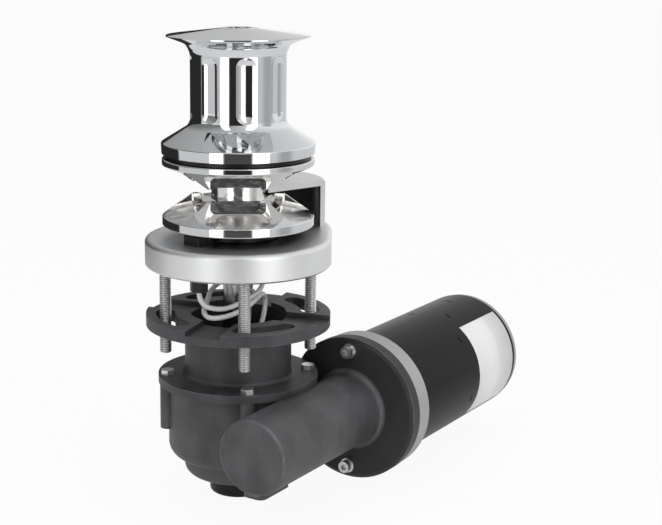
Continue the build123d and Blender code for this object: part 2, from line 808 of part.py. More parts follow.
drum_rim_inner = drum_rim_radius - drum_wall
with BuildPart() as drum:
    turn(
        [
            (bush_bore, drum_bottom),
            (drum_hub_radius, drum_bottom),
            (drum_hub_radius, drum_bottom + drum_web_bottom),
            (drum_barrel_radius - drum_wall, drum_bottom + drum_web_bottom),
            (drum_barrel_radius - drum_wall, drum_bottom + drum_barrel_start),
            (drum_rim_inner, drum_bottom + drum_rim_height),
            (drum_rim_inner, drum_bottom),
            (drum_rim_radius, drum_bottom),
            (drum_rim_radius + drum_rim_flare, drum_bottom + drum_rim_height),
            (drum_cone_radius, drum_bottom + drum_cone_height),
            (drum_barrel_radius, drum_bottom + drum_barrel_start),
            (drum_barrel_radius, drum_bottom + drum_barrel_end),
            (drum_flare_radius, drum_bottom + drum_flare_height),
            (drum_flange_radius, drum_bottom + drum_flange_height - drum_flange_edge),
            (drum_flange_radius, drum_bottom + drum_flange_height),
            (nut_radius + parting_gap, drum_crown),
            (nut_radius + parting_gap, nut_seat),
            (bush_bore, nut_seat),
        ],
        [(8, drum_rim_fillet)] + [(corner, drum_barrel_fillet) for corner in (9, 10, 11, 12)],
    )
    with Locations((0, 0, drum_bottom + (drum_barrel_start + drum_barrel_end) / 2)):
        with PolarLocations(0, flute_count, start_angle=flute_azimuth):
            add(flute_cutter.part, mode=Mode.SUBTRACT)
    keyway(drum_bottom, drum_bottom + drum_key_length + seat_gap)
drum.part.label = "drum"
export_step(drum.part, "parts/drum.step")

# Disc springs under the clutch nut
with BuildPart() as clutch_springs:
    for leaf in range(spring_count):
        low = nut_seat + leaf * (spring_thickness + seat_gap)
        turn(
            [
                (shaft_thread_radius + parting_gap, low + spring_cone),
                (spring_outer_radius, low),
                (spring_outer_radius, low + spring_thickness),
                (shaft_thread_radius + parting_gap, low + spring_cone + spring_thickness),
            ]
        )
clutch_springs.part.label = "clutch_springs"
export_step(clutch_springs.part, "parts/clutch_springs.step")

# Clutch nut with a star socket for the lever
with BuildPart() as clutch_nut:
    with Locations((0, 0, nut_bottom)):
        Cylinder(nut_radius, nut_top - nut_bottom, align=(Align.CENTER, Align.CENTER, Align.MIN))
    chamfer(clutch_nut.edges().filter_by(GeomType.CIRCLE).group_by(Axis.Z)[-1], nut_chamfer)
    bore(shaft_thread_radius + running_gap, nut_bottom, nut_top)
    with BuildSketch(Plane.XY.offset(shaft_top)):
        for square in range(nut_socket_points // 4):
            RegularPolygon(nut_socket_radius, 4, rotation=square * 360 / nut_socket_points)
    extrude(amount=nut_top - shaft_top, mode=Mode.SUBTRACT)
clutch_nut.part.label = "clutch_nut"
export_step(clutch_nut.part, "parts/clutch_nut.step")

# Gearbox cover: pads with kidney slots on the deck flange, a neck and the gearcase flange
with BuildPart() as gearbox_cover:
    turn(
        [
            (bush_radius + seat_gap, cover_flange_bottom),
            (cover_flange_radius, cover_flange_bottom),
            (cover_flange_radius, cover_flange_top),
            (neck_radius, cover_flange_top),
            (neck_radius, plate_bottom),
            (plate_radius, plate_bottom),
            (plate_radius, plate_pad_top - plate_pad_height),
            (plate_bore_radius, plate_pad_top - plate_pad_height),
            (plate_bore_radius, cover_floor_top),
            (base_seal_radius + seat_gap, cover_floor_top),
            (base_seal_radius + seat_gap, cover_floor_top - base_seal_height),
            (bush_radius + seat_gap, cover_floor_top - base_seal_height),
        ],
        [(3, cover_fillet), (4, cover_fillet)],
    )
    with BuildSketch(Plane.XY.offset(plate_pad_top - plate_pad_height)):
        for azimuth in stud_azimuths:
            with BuildLine():
                rim = CenterArc((0, 0), plate_radius, azimuth + pad_rim_start, pad_rim_end - pad_rim_start)
                inner_sweep = pad_inner_end - pad_inner_start
                bore_edge = CenterArc((0, 0), plate_bore_radius, azimuth + pad_inner_start, inner_sweep)
                Line(rim @ 0, bore_edge @ 0)
                Line(rim @ 1, bore_edge @ 1)
            make_face()
    extrude(amount=plate_pad_height)
    with BuildSketch(Plane.XY.offset(plate_bottom)):
        for azimuth in stud_azimuths:
            first = azimuth + slot_start
            sweep_line = Edge.make_circle(stud_circle_radius, start_angle=first, end_angle=first + slot_sweep)
            SlotArc(sweep_line, slot_width)
    extrude(amount=plate_pad_top - plate_bottom, mode=Mode.SUBTRACT)
    for spot in cover_bolt_spots:
        bore(cover_bolt_radius + seat_gap, cover_flange_bottom, cover_flange_top, spot)
gearbox_cover.part.label = "gearbox_cover"
export_step(gearbox_cover.part, "parts/gearbox_cover.step")

with BuildPart() as cover_bush:
    ring(bush_bore, bush_radius, cover_flange_bottom, cover_floor_top - base_seal_height)
cover_bush.part.label = "cover_bush"
export_step(cover_bush.part, "parts/cover_bush.step")

with BuildPart() as cover_seal:
    ring(bush_bore, base_seal_radius, cover_floor_top - base_seal_height, cover_floor_top)
cover_seal.part.label = "cover_seal"
export_step(cover_seal.part, "parts/cover_seal.step")

with BuildPart() as cover_gasket:
    with BuildSketch(Plane.XY.offset(case_top)):
        Circle(case_radius)
        with Locations([spot[:2] for spot in cover_bolt_spots]):
            Circle(cover_boss_radius)
        Circle(case_radius - case_wall, mode=Mode.SUBTRACT)
        with Locations([spot[:2] for spot in cover_bolt_spots]):
            Circle(cover_bolt_radius + seat_gap, mode=Mode.SUBTRACT)
    extrude(amount=gasket_thickness)
cover_gasket.part.label = "cover_gasket"
export_step(cover_gasket.part, "parts/cover_gasket.step")

with BuildPart() as cover_bolts:
    for spot, head_turn in zip(cover_bolt_spots, cover_bolt_head_turns):
        with BuildSketch(Plane.XY.offset(cover_flange_top)) as bolt_head:
            with Locations(spot[:2]):
                RegularPolygon(cover_bolt_head_radius, 6, rotation=head_turn)
        extrude(bolt_head.sketch, amount=cover_bolt_head_height)
        with BuildSketch(Plane.XY.offset(case_top - cover_bolt_engagement)) as bolt_shank:
            with Locations(spot[:2]):
                Circle(cover_bolt_radius)
        extrude(bolt_shank.sketch, amount=cover_flange_top - case_top + cover_bolt_engagement)
cover_bolts.part.label = "cover_bolts"
export_step(cover_bolts.part, "parts/cover_bolts.step")

# Gearcase: a pot for the wheel, a tube across it for the worm and the motor's flange
with BuildPart() as gearcase:
    turn(
        [
            (0, case_top),
            (case_radius, case_top),
            (case_radius, case_shoulder),
            (case_foot_radius, case_shoulder),
            (case_foot_radius, case_foot_bottom),
            (0, case_foot_bottom),
        ],
        [(2, shoulder_round), (4, case_foot_round)],
    )
    turn(
        [
            (0, tube_start),
            (tube_radius, tube_start),
            (tube_radius, tube_flange_face),
            (flange_edge_radius, tube_flange_face),
            (flange_radius, tube_flange_face + flange_chamfer_depth),
            (flange_radius, flange_back),
            (0, flange_back),
        ],
        [(1, tube_end_round), (2, tube_flange_round)],
        worm_section,
        worm_line,
    )
    for spot in cover_bolt_spots:
        with Locations((spot[0], spot[1], cover_boss_bottom)):
            boss_height = case_top - cover_boss_bottom
            Cylinder(cover_boss_radius, boss_height, align=(Align.CENTER, Align.CENTER, Align.MIN))
    with BuildSketch(Plane.XY.offset(worm_height - tube_radius - tube_pad_drop)) as tube_pad:
        with Locations((tube_start + tube_pad_inset + tube_pad_length / 2, -worm_offset)):
            RectangleRounded(tube_pad_length, tube_pad_width, tube_pad_round)
    extrude(tube_pad.sketch, amount=tube_pad_depth)
    bore(cover_flange_radius + cover_relief, case_top, worm_height + flange_radius)
    bore(case_radius - case_wall, case_floor, case_top)
    bore(bush_radius + seat_gap, bottom_bush_bottom, case_floor)
    bore(base_seal_radius + seat_gap, case_foot_bottom, bottom_bush_bottom)
    for spot in cover_bolt_spots:
        bore(cover_bolt_radius + seat_gap, case_top - cover_bolt_engagement - parting_gap, case_top, spot)
    drill(tube_bore, bearing_front, flange_back, 0, (0,))
    drill(
        flange_screw_radius + seat_gap,
        tube_flange_face,
        flange_back,
        flange_screw_circle_radius,
        flange_screw_angles,
    )
gearcase.part.label = "gearcase"
export_step(gearcase.part, "parts/gearcase.step")

with BuildPart() as bottom_bush:
    ring(bush_bore, bush_radius, bottom_bush_bottom, case_floor)
bottom_bush.part.label = "bottom_bush"
export_step(bottom_bush.part, "parts/bottom_bush.step")

with BuildPart() as thrust_washer:
    ring(bush_bore, thrust_washer_radius, case_floor, case_floor + thrust_washer_thickness)
thrust_washer.part.label = "thrust_washer"
export_step(thrust_washer.part, "parts/thrust_washer.step")

with BuildPart() as bottom_cap:
    turn(
        [
            (0, bottom_cap_bottom),
            (bottom_cap_radius, bottom_cap_bottom),
            (bottom_cap_radius, case_foot_bottom),
            (base_seal_radius, case_foot_bottom),
            (base_seal_radius, bottom_bush_bottom),
            (bottom_cap_inner_radius, bottom_bush_bottom),
            (bottom_cap_inner_radius, bottom_cap_bottom + bottom_cap_wall),
            (0, bottom_cap_bottom + bottom_cap_wall),
        ],
        [(1, bottom_cap_round)],
    )
bottom_cap.part.label = "bottom_cap"
export_step(bottom_cap.part, "parts/bottom_cap.step")

# Worm wheel: teeth turned slightly about the main shaft from face to face to match the worm's lead
tooth_slope = tan(radians(pressure_angle))
wheel_tooth_half = (worm_lead / 2 - gear_backlash) / 2
wheel_twist = degrees(gear_face / 2 * worm_lead / (2 * pi * worm_pitch_radius) / gear_pitch_radius)


def tooth_edge(tooth, radius, flank):
    """Azimuth of a wheel tooth's flank (-1 or 1) at a radius, counted from the worm's side."""
    half_angle = degrees((wheel_tooth_half + (gear_pitch_radius - radius) * tooth_slope) / radius)
    return 360 / gear_teeth * tooth - 90 + flank * half_angle


with BuildPart() as worm_wheel:
    for side in (-1, 1):
        with BuildSketch(Plane.XY.offset(worm_height + side * gear_face / 2)):
            with BuildLine():
                Polyline(
                    *[
                        polar(radius, side * wheel_twist + tooth_edge(tooth, radius, flank))[:2]
                        for tooth in range(gear_teeth)
                        for radius, flank in (
                            (gear_root_radius, -1),
                            (gear_tip_radius, -1),
                            (gear_tip_radius, 1),
                            (gear_root_radius, 1),
                        )
                    ],
                    close=True,
                )
            make_face()
    loft(ruled=True)
    for side in (-1, 1):
        with BuildSketch(Plane.XY.offset(worm_height + side * gear_web_thickness / 2)) as dish:
            Circle(gear_root_radius - gear_rim_wall)
            Circle(gear_hub_radius, mode=Mode.SUBTRACT)
        extrude(dish.sketch, amount=side * gear_face, mode=Mode.SUBTRACT)
    gear_hub_bottom = case_floor + thrust_washer_thickness + parting_gap
    with Locations((0, 0, gear_hub_bottom)):
        hub_height = gear_hub_top - gear_hub_bottom
        Cylinder(gear_hub_radius, hub_height, align=(Align.CENTER, Align.CENTER, Align.MIN))
    bore(bush_bore, gear_hub_bottom, gear_hub_top)
    keyway(gear_hub_bottom, gear_hub_top)
worm_wheel.part.label = "worm_wheel"
export_step(worm_wheel.part, "parts/worm_wheel.step")

# Worm: one right-hand thread, with a gap and not a crest facing the wheel at X = 0
worm_thread_half = worm_lead / 4
worm_sunk_radius = worm_root_radius - worm_thread_sink
thread_start = -worm_turns * worm_lead / 2
with BuildPart() as worm_thread:
    with BuildLine():
        Helix(worm_lead, worm_turns * worm_lead, worm_pitch_radius, center=(0, 0, thread_start))
    with BuildSketch(Plane(origin=(0, 0, thread_start), x_dir=(1, 0, 0), z_dir=(0, -1, 0))):
        with BuildLine():
            Polyline(
                *[
                    (radius, flank * (worm_thread_half + (worm_pitch_radius - radius) * tooth_slope))
                    for radius, flank in (
                        (worm_sunk_radius, -1),
                        (worm_tip_radius, -1),
                        (worm_tip_radius, 1),
                        (worm_sunk_radius, 1),
                    )
                ],
                close=True,
            )
        make_face()
    sweep(is_frenet=True)

with BuildPart() as worm_shaft:
    turn(
        [
            (0, bearing_front + worm_end_gap),
            (worm_journal_radius, bearing_front + worm_end_gap),
            (worm_journal_radius, bearing_front + worm_bearing_width),
            (worm_shoulder_radius, bearing_front + worm_bearing_width),
            (worm_shoulder_radius, -worm_body_half_length),
            (worm_root_radius, -worm_body_half_length),
            (worm_root_radius, worm_body_half_length),
            (worm_shoulder_radius, worm_body_half_length),
            (worm_shoulder_radius, bearing_seat),
            (worm_journal_radius, bearing_seat),
            (worm_journal_radius, worm_shaft_end),
            (0, worm_shaft_end),
        ],
        (),
        worm_section,
        worm_line,
    )
    with Locations(worm_face(0)):
        add(worm_thread.part)
    drill(motor_nose_radius + running_gap, worm_shaft_end - worm_drive_bore_depth, worm_shaft_end, 0, (0,))
    drive_keyway(worm_shaft_end - worm_drive_bore_depth, worm_shaft_end)
worm_shaft.part.label = "worm_shaft"
export_step(worm_shaft.part, "parts/worm_shaft.step")


def bearing_rings(inner, outer, shield_radius, shield, places, width):
    """Turn an outer ring with two shields, at each of several places along the worm line."""
    for place in places:
        turn(
            [
                (shield_radius, place),
                (outer, place),
                (outer, place + width),
                (shield_radius, place + width),
                (shield_radius, place + width - shield),
                (inner, place + width - shield),
                (inner, place + shield),
                (shield_radius, place + shield),
            ],
            (),
            worm_section,
            worm_line,
        )


worm_bearing_places = (bearing_front, bearing_seat)
with BuildPart() as worm_bearing_outer_rings:
    bearing_rings(
        worm_bearing_radius - worm_bearing_ring,
        worm_bearing_radius,
        worm_shoulder_radius + parting_gap,
        bearing_shield,
        worm_bearing_places,
        worm_bearing_width,
    )
worm_bearing_outer_rings.part.label = "worm_bearing_outer_rings"
export_step(worm_bearing_outer_rings.part, "parts/worm_bearing_outer_rings.step")

with BuildPart() as worm_bearing_inner_rings:
    for place in worm_bearing_places:
        ring(
            worm_journal_radius + seat_gap,
            worm_shoulder_radius,
            place,
            place + worm_bearing_width,
            worm_section,
            worm_line,
        )
worm_bearing_inner_rings.part.label = "worm_bearing_inner_rings"
export_step(worm_bearing_inner_rings.part, "parts/worm_bearing_inner_rings.step")

with BuildPart() as worm_seal:
    ring(
        worm_journal_radius + running_gap,
        worm_bearing_radius,
        tube_flange_face,
        tube_flange_face + worm_seal_thickness,
        worm_section,
        worm_line,
    )
worm_seal.part.label = "worm_seal"
export_step(worm_seal.part, "parts/worm_seal.step")

# Motor mounting: gasket, adapter ring, and the screws that pull them to the gearcase flange
with BuildPart() as motor_gasket:
    ring(tube_bore, adapter_radius, flange_back, adapter_front, worm_section, worm_line)
    drill(
        flange_screw_radius + seat_gap,
        flange_back,
        adapter_front,
        flange_screw_circle_radius,
        flange_screw_angles,
    )
motor_gasket.part.label = "motor_gasket"
export_step(motor_gasket.part, "parts/motor_gasket.step")

with BuildPart() as motor_adapter:
    turn(
        [
            (adapter_bore_radius, adapter_front),
            (adapter_radius, adapter_front),
            (adapter_radius, adapter_back),
            (can_inner - seat_gap, adapter_back),
            (can_inner - seat_gap, adapter_back + adapter_spigot),
            (tie_bolt_circle_radius, adapter_back + adapter_spigot),
            (tie_bolt_circle_radius, adapter_back),
            (motor_bearing_radius + seat_gap, adapter_back),
            (motor_bearing_radius + seat_gap, adapter_back - motor_bearing_width),
            (adapter_bore_radius, adapter_back - motor_bearing_width),
        ],
        (),
        worm_section,
        worm_line,
    )
    drill(
        flange_screw_radius + seat_gap,
        adapter_front,
        adapter_front + flange_screw_engagement + parting_gap,
        flange_screw_circle_radius,
        flange_screw_angles,
    )
    drill(
        tie_bolt_radius + seat_gap,
        adapter_back - tie_bolt_engagement - parting_gap,
        adapter_back + adapter_spigot,
        tie_bolt_circle_radius,
        tie_bolt_angles,
    )
motor_adapter.part.label = "motor_adapter"
export_step(motor_adapter.part, "parts/motor_adapter.step")

flange_head_seat = tube_flange_face - flange_washer_thickness
with BuildPart() as flange_screws:
    rods(
        flange_screw_radius,
        flange_head_seat,
        adapter_front + flange_screw_engagement,
        flange_screw_circle_radius,
        flange_screw_angles,
    )
    rods(
        flange_screw_head_radius,
        flange_head_seat - flange_screw_head_height,
        flange_head_seat,
        flange_screw_circle_radius,
        flange_screw_angles,
    )
    with BuildSketch(worm_face(flange_head_seat - flange_screw_head_height)) as sockets:
        with Locations([polar(flange_screw_circle_radius, angle)[:2] for angle in flange_screw_angles]):
            RegularPolygon(flange_screw_socket_radius, 6)
    extrude(sockets.sketch, amount=flange_screw_head_height / 2, mode=Mode.SUBTRACT)
flange_screws.part.label = "flange_screws"
export_step(flange_screws.part, "parts/flange_screws.step")

with BuildPart() as flange_washers:
    rods(
        flange_washer_radius,
        flange_head_seat,
        tube_flange_face,
        flange_screw_circle_radius,
        flange_screw_angles,
    )
    drill(
        flange_screw_radius + seat_gap,
        flange_head_seat,
        tube_flange_face,
        flange_screw_circle_radius,
        flange_screw_angles,
    )
flange_washers.part.label = "flange_washers"
export_step(flange_washers.part, "parts/flange_washers.step")

# Motor: can, field magnets, armature, commutator, brushes and end cap
with BuildPart() as motor_can:
    ring(can_inner, motor_radius, adapter_back, cap_front, worm_section, worm_line)
motor_can.part.label = "motor_can"
export_step(motor_can.part, "parts/motor_can.step")

magnet_inner_radius = can_inner - seat_gap - magnet_arc_thickness
with BuildPart() as field_magnets:
    with BuildSketch(worm_face(magnet_arc_start)):
        for pole in range(magnet_arc_count):
            middle = 360 / magnet_arc_count * pole
            with BuildLine():
                first = middle - magnet_arc_span / 2
                inside = CenterArc((0, 0), magnet_inner_radius, first, magnet_arc_span)
                outside = CenterArc((0, 0), can_inner - seat_gap, first, magnet_arc_span)
                Line(inside @ 0, outside @ 0)
                Line(inside @ 1, outside @ 1)
            make_face()
    extrude(amount=magnet_arc_length)
field_magnets.part.label = "field_magnets"
export_step(field_magnets.part, "parts/field_magnets.step")

armature_radius = magnet_inner_radius - armature_gap
armature_start = magnet_arc_start + armature_inset
armature_end = magnet_arc_start + magnet_arc_length - armature_inset
with BuildPart() as armature_core:
    with BuildSketch(worm_face(armature_start)):
        Circle(armature_radius)
        Circle(motor_shaft_radius + seat_gap, mode=Mode.SUBTRACT)
        with PolarLocations(armature_radius, armature_slots):
            Rectangle(2 * armature_slot_depth, armature_slot_width, mode=Mode.SUBTRACT)
    extrude(amount=armature_end - armature_start)
armature_core.part.label = "armature_core"
export_step(armature_core.part, "parts/armature_core.step")

bar_depth = armature_slot_depth - 2 * parting_gap
with BuildPart() as armature_windings:
    with BuildSketch(worm_face(armature_start - winding_length)):
        with PolarLocations(armature_radius - armature_slot_depth / 2, armature_slots):
            Rectangle(bar_depth, armature_slot_width - 2 * seat_gap)
    extrude(amount=armature_end - armature_start + 2 * winding_length)
    for place in (armature_start - winding_length, armature_end):
        ring(winding_inner_radius, winding_radius, place, place + winding_length, worm_section, worm_line)
armature_windings.part.label = "armature_windings"
export_step(armature_windings.part, "parts/armature_windings.step")

commutator_end = commutator_start + commutator_length
with BuildPart() as commutator:
    ring(
        motor_shaft_radius + seat_gap,
        commutator_radius,
        commutator_start,
        commutator_end,
        worm_section,
        worm_line,
    )
commutator.part.label = "commutator"
export_step(commutator.part, "parts/commutator.step")

brush_middle = commutator_start + commutator_length / 2
brush_inner = commutator_radius + brush_gap
box_width = brush_width + 2 * (seat_gap + brush_box_wall)
brush_plate_face = commutator_end + brush_plate_gap
with BuildPart() as brush_plate:
    with BuildSketch(worm_face(brush_plate_face)) as disc:
        Circle(can_inner - seat_gap)
        Circle(commutator_radius + brush_box_lift, mode=Mode.SUBTRACT)
    extrude(disc.sketch, amount=brush_plate_thickness)
    with BuildSketch(worm_face(brush_middle - brush_length / 2 - brush_box_wall)) as boxes:
        with PolarLocations(commutator_radius + brush_box_lift + brush_box_height / 2, brush_count):
            Rectangle(brush_box_height, box_width)
    extrude(boxes.sketch, amount=brush_plate_face - brush_middle + brush_length / 2 + brush_box_wall)
    with BuildSketch(worm_face(brush_middle - brush_length / 2 - seat_gap)) as brush_holes:
        with PolarLocations(brush_inner + brush_height / 2, brush_count):
            Rectangle(2 * brush_height, brush_width + 2 * seat_gap)
    extrude(brush_holes.sketch, amount=brush_length + 2 * seat_gap, mode=Mode.SUBTRACT)
    drill(
        tie_bolt_radius + parting_gap,
        brush_plate_face,
        brush_plate_face + brush_plate_thickness,
        tie_bolt_circle_radius,
        tie_bolt_angles,
    )
brush_plate.part.label = "brush_plate"
export_step(brush_plate.part, "parts/brush_plate.step")

with BuildPart() as brushes:
    with BuildSketch(worm_face(brush_middle - brush_length / 2)):
        with PolarLocations(brush_inner + brush_height / 2, brush_count):
            Rectangle(brush_height, brush_width)
    extrude(amount=brush_length)
brushes.part.label = "brushes"
export_step(brushes.part, "parts/brushes.step")

motor_bearing_places = (adapter_back - motor_bearing_width, cap_front - motor_bearing_width)
motor_ring_radius = motor_bearing_radius - 2 * motor_bearing_ring
with BuildPart() as motor_bearing_outer_rings:
    bearing_rings(
        motor_bearing_radius - motor_bearing_ring,
        motor_bearing_radius,
        motor_ring_radius + parting_gap,
        bearing_shield,
        motor_bearing_places,
        motor_bearing_width,
    )
motor_bearing_outer_rings.part.label = "motor_bearing_outer_rings"
export_step(motor_bearing_outer_rings.part, "parts/motor_bearing_outer_rings.step")

with BuildPart() as motor_bearing_inner_rings:
    for place in motor_bearing_places:
        ring(
            motor_shaft_radius + seat_gap,
            motor_ring_radius,
            place,
            place + motor_bearing_width,
            worm_section,
            worm_line,
        )
motor_bearing_inner_rings.part.label = "motor_bearing_inner_rings"
export_step(motor_bearing_inner_rings.part, "parts/motor_bearing_inner_rings.step")

motor_nose_front = worm_shaft_end - worm_drive_bore_depth + 1
with BuildPart() as motor_shaft:
    turn(
        [
            (0, motor_nose_front),
            (motor_nose_radius, motor_nose_front),
            (motor_nose_radius, adapter_front),
            (motor_shaft_radius, adapter_front),
            (motor_shaft_radius, cap_front - parting_gap),
            (0, cap_front - parting_gap),
        ],
        (),
        worm_section,
        worm_line,
    )
    drive_keyway(drive_key_start - seat_gap, worm_shaft_end)
motor_shaft.part.label = "motor_shaft"
export_step(motor_shaft.part, "parts/motor_shaft.step")

with BuildPart() as motor_drive_key:
    with BuildSketch(worm_face(drive_key_start)):
        with Locations((motor_nose_radius, 0)):
            Rectangle(drive_key_height, drive_key_width)
    extrude(amount=worm_shaft_end - seat_gap - drive_key_start)
motor_drive_key.part.label = "motor_drive_key"
export_step(motor_drive_key.part, "parts/motor_drive_key.step")

with BuildPart() as motor_end_cap:
    turn(
        [
            (0, motor_back),
            (motor_radius - end_cap_inset, motor_back),
            (motor_radius - end_cap_inset, cap_front),
            (can_inner - seat_gap, cap_front),
            (can_inner - seat_gap, cap_front - end_cap_spigot),
            (tie_bolt_circle_radius, cap_front - end_cap_spigot),
            (tie_bolt_circle_radius, cap_front),
            (motor_bearing_radius + motor_bearing_hub, cap_front),
            (motor_bearing_radius + motor_bearing_hub, cap_front - motor_bearing_width),
            (motor_bearing_radius + seat_gap, cap_front - motor_bearing_width),
            (motor_bearing_radius + seat_gap, cap_front),
            (0, cap_front),
        ],
        (),
        worm_section,
        worm_line,
    )
    drill(
        tie_bolt_radius + seat_gap,
        cap_front - end_cap_spigot,
        motor_back,
        tie_bolt_circle_radius,
        tie_bolt_angles,
    )
    drill(terminal_radius + seat_gap, cap_front, motor_back, terminal_offset, terminal_angles)
motor_end_cap.part.label = "motor_end_cap"
export_step(motor_end_cap.part, "parts/motor_end_cap.step")

with BuildPart() as tie_bolts:
    rods(
        tie_bolt_radius,
        adapter_back - tie_bolt_engagement,
        motor_back,
        tie_bolt_circle_radius,
        tie_bolt_angles,
    )
    with BuildSketch(worm_face(motor_back)) as tie_heads:
        with Locations([polar(tie_bolt_circle_radius, angle)[:2] for angle in tie_bolt_angles]):
            RegularPolygon(tie_bolt_head_radius, 6)
    extrude(tie_heads.sketch, amount=tie_bolt_head_height)
tie_bolts.part.label = "tie_bolts"
export_step(tie_bolts.part, "parts/tie_bolts.step")

# Power terminals on the motor's end cap
with BuildPart() as terminal_studs:
    rods(
        terminal_radius,
        cap_front - terminal_inside,
        motor_back + terminal_length,
        terminal_offset,
        terminal_angles,
    )
terminal_studs.part.label = "terminal_studs"
export_step(terminal_studs.part, "parts/terminal_studs.step")

terminal_nut_face = motor_back + terminal_washer_thickness
with BuildPart() as terminal_washers:
    rods(terminal_washer_radius, motor_back, terminal_nut_face, terminal_offset, terminal_angles)
    drill(terminal_radius + seat_gap, motor_back, terminal_nut_face, terminal_offset, terminal_angles)
terminal_washers.part.label = "terminal_washers"
export_step(terminal_washers.part, "parts/terminal_washers.step")

with BuildPart() as terminal_nuts:
    with BuildSketch(worm_face(terminal_nut_face)) as nut_faces:
        with Locations([polar(terminal_offset, angle)[:2] for angle in terminal_angles]):
            RegularPolygon(terminal_nut_radius, 6)
            Circle(terminal_radius + seat_gap, mode=Mode.SUBTRACT)
    extrude(nut_faces.sketch, amount=terminal_nut_height)
terminal_nuts.part.label = "terminal_nuts"
export_step(terminal_nuts.part, "parts/terminal_nuts.step")
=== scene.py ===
"""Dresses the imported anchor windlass: finishes, threads, lead, sticker, studio and camera."""

import logging
import math
from dataclasses import dataclass, field
from enum import Enum
from typing import Any, Mapping, Sequence

import bpy
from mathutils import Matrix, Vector


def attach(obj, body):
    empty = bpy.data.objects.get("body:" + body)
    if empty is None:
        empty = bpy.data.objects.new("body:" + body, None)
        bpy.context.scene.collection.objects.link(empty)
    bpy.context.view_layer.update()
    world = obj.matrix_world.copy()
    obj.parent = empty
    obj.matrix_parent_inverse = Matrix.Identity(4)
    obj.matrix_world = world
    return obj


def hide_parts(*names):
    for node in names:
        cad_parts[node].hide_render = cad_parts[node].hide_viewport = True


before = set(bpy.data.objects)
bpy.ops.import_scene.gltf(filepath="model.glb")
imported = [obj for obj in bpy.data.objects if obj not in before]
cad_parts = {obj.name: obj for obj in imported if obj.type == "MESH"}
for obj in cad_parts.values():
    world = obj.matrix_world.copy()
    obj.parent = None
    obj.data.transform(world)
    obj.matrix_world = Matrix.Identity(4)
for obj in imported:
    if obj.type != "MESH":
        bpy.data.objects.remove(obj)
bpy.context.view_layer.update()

LOG = logging.getLogger("windlass")

# Finishes and the studio work in metres, meshes in millimetres, and all angles are in degrees.
MM = 0.001
WORM_Y = -73.7 * MM
WORM_Z = -128.5 * MM
STUD_CIRCLE = 60.6
STUD_AZIMUTH = 39.4
FLAT_ANGLE = 0.4
SHARP_ANGLE = 32.0

Point = tuple[float, float, float]
Colour = tuple[float, float, float]
Shape = tuple[list[Point], list[tuple[int, ...]]]

WHITE: Colour = (1.0, 1.0, 1.0)
UNLIT: Colour = (0.0, 0.0, 0.0)


class Value:
    """A number or vector socket that takes part in Python arithmetic."""

    def __init__(self, graph: "Graph", socket: bpy.types.NodeSocket | None) -> None:
        """Wraps a socket.

        Args:
            graph: The graph that owns the socket's node.
            socket: The output socket, or None for a node that ends the tree.
        """
        self.graph = graph
        self.socket = socket

    def _math(self, operation: str, first: Any, second: Any = None) -> "Value":
        """Adds one Math node.

        Args:
            operation: The Math node's operation.
            first: Left value or number.
            second: Right value or number, where the operation takes one.

        Returns:
            The node's result.
        """
        inputs = {i: v for i, v in enumerate((first, second)) if v is not None}
        return self.graph.node("ShaderNodeMath", {"operation": operation}, inputs)

    def __add__(self, other: Any) -> "Value":
        """Sum."""
        return self._math("ADD", self, other)

    def __radd__(self, other: Any) -> "Value":
        """Sum with a number on the left."""
        return self._math("ADD", other, self)

    def __sub__(self, other: Any) -> "Value":
        """Difference."""
        return self._math("SUBTRACT", self, other)

    def __rsub__(self, other: Any) -> "Value":
        """Difference from a number on the left."""
        return self._math("SUBTRACT", other, self)

    def __mul__(self, other: Any) -> "Value":
        """Product."""
        return self._math("MULTIPLY", self, other)

    def __rmul__(self, other: Any) -> "Value":
        """Product with a number on the left."""
        return self._math("MULTIPLY", other, self)

    def __abs__(self) -> "Value":
        """Absolute value."""
        return self._math("ABSOLUTE", self)

    def root(self) -> "Value":
        """Square root."""
        return self._math("SQRT", self)

    def sine(self) -> "Value":
        """Sine of an angle in radians."""
        return self._math("SINE", self)

    def bearing(self, across: "Value") -> "Value":
        """Angle in radians of a point with this height and that width."""
        return self._math("ARCTAN2", self, across)

    def largest(self, other: Any) -> "Value":
        """The larger of two values."""
        return self._math("MAXIMUM", self, other)

    def smallest(self, other: Any) -> "Value":
        """The smaller of two values."""
        return self._math("MINIMUM", self, other)

    def step(self, edge: float, width: float) -> "Value":
        """Smooth step from 0 below an edge to 1 above it.

        Args:
            edge: Middle of the step.
            width: Width of the step.

        Returns:
            A value from 0 to 1.
        """
        settings = {"interpolation_type": "SMOOTHSTEP"}
        inputs = {"Value": self, "From Min": edge - width / 2, "From Max": edge + width / 2}
        return self.graph.node("ShaderNodeMapRange", settings, inputs)

    def span(self, low: float, high: float) -> "Value":
        """Maps 0..1 onto low..high."""
        return self * (high - low) + low

    def parts(self) -> tuple["Value", "Value", "Value"]:
        """Splits a vector into its three numbers."""
        return tuple(self.graph.node("ShaderNodeSeparateXYZ", {}, {0: self}, i) for i in range(3))


class Grain(Enum):
    """Which line a turned or ground surface's marks run round."""

    ROUND_Z = "the main shaft"
    ROUND_X = "the worm line"
    NONE = "no line"


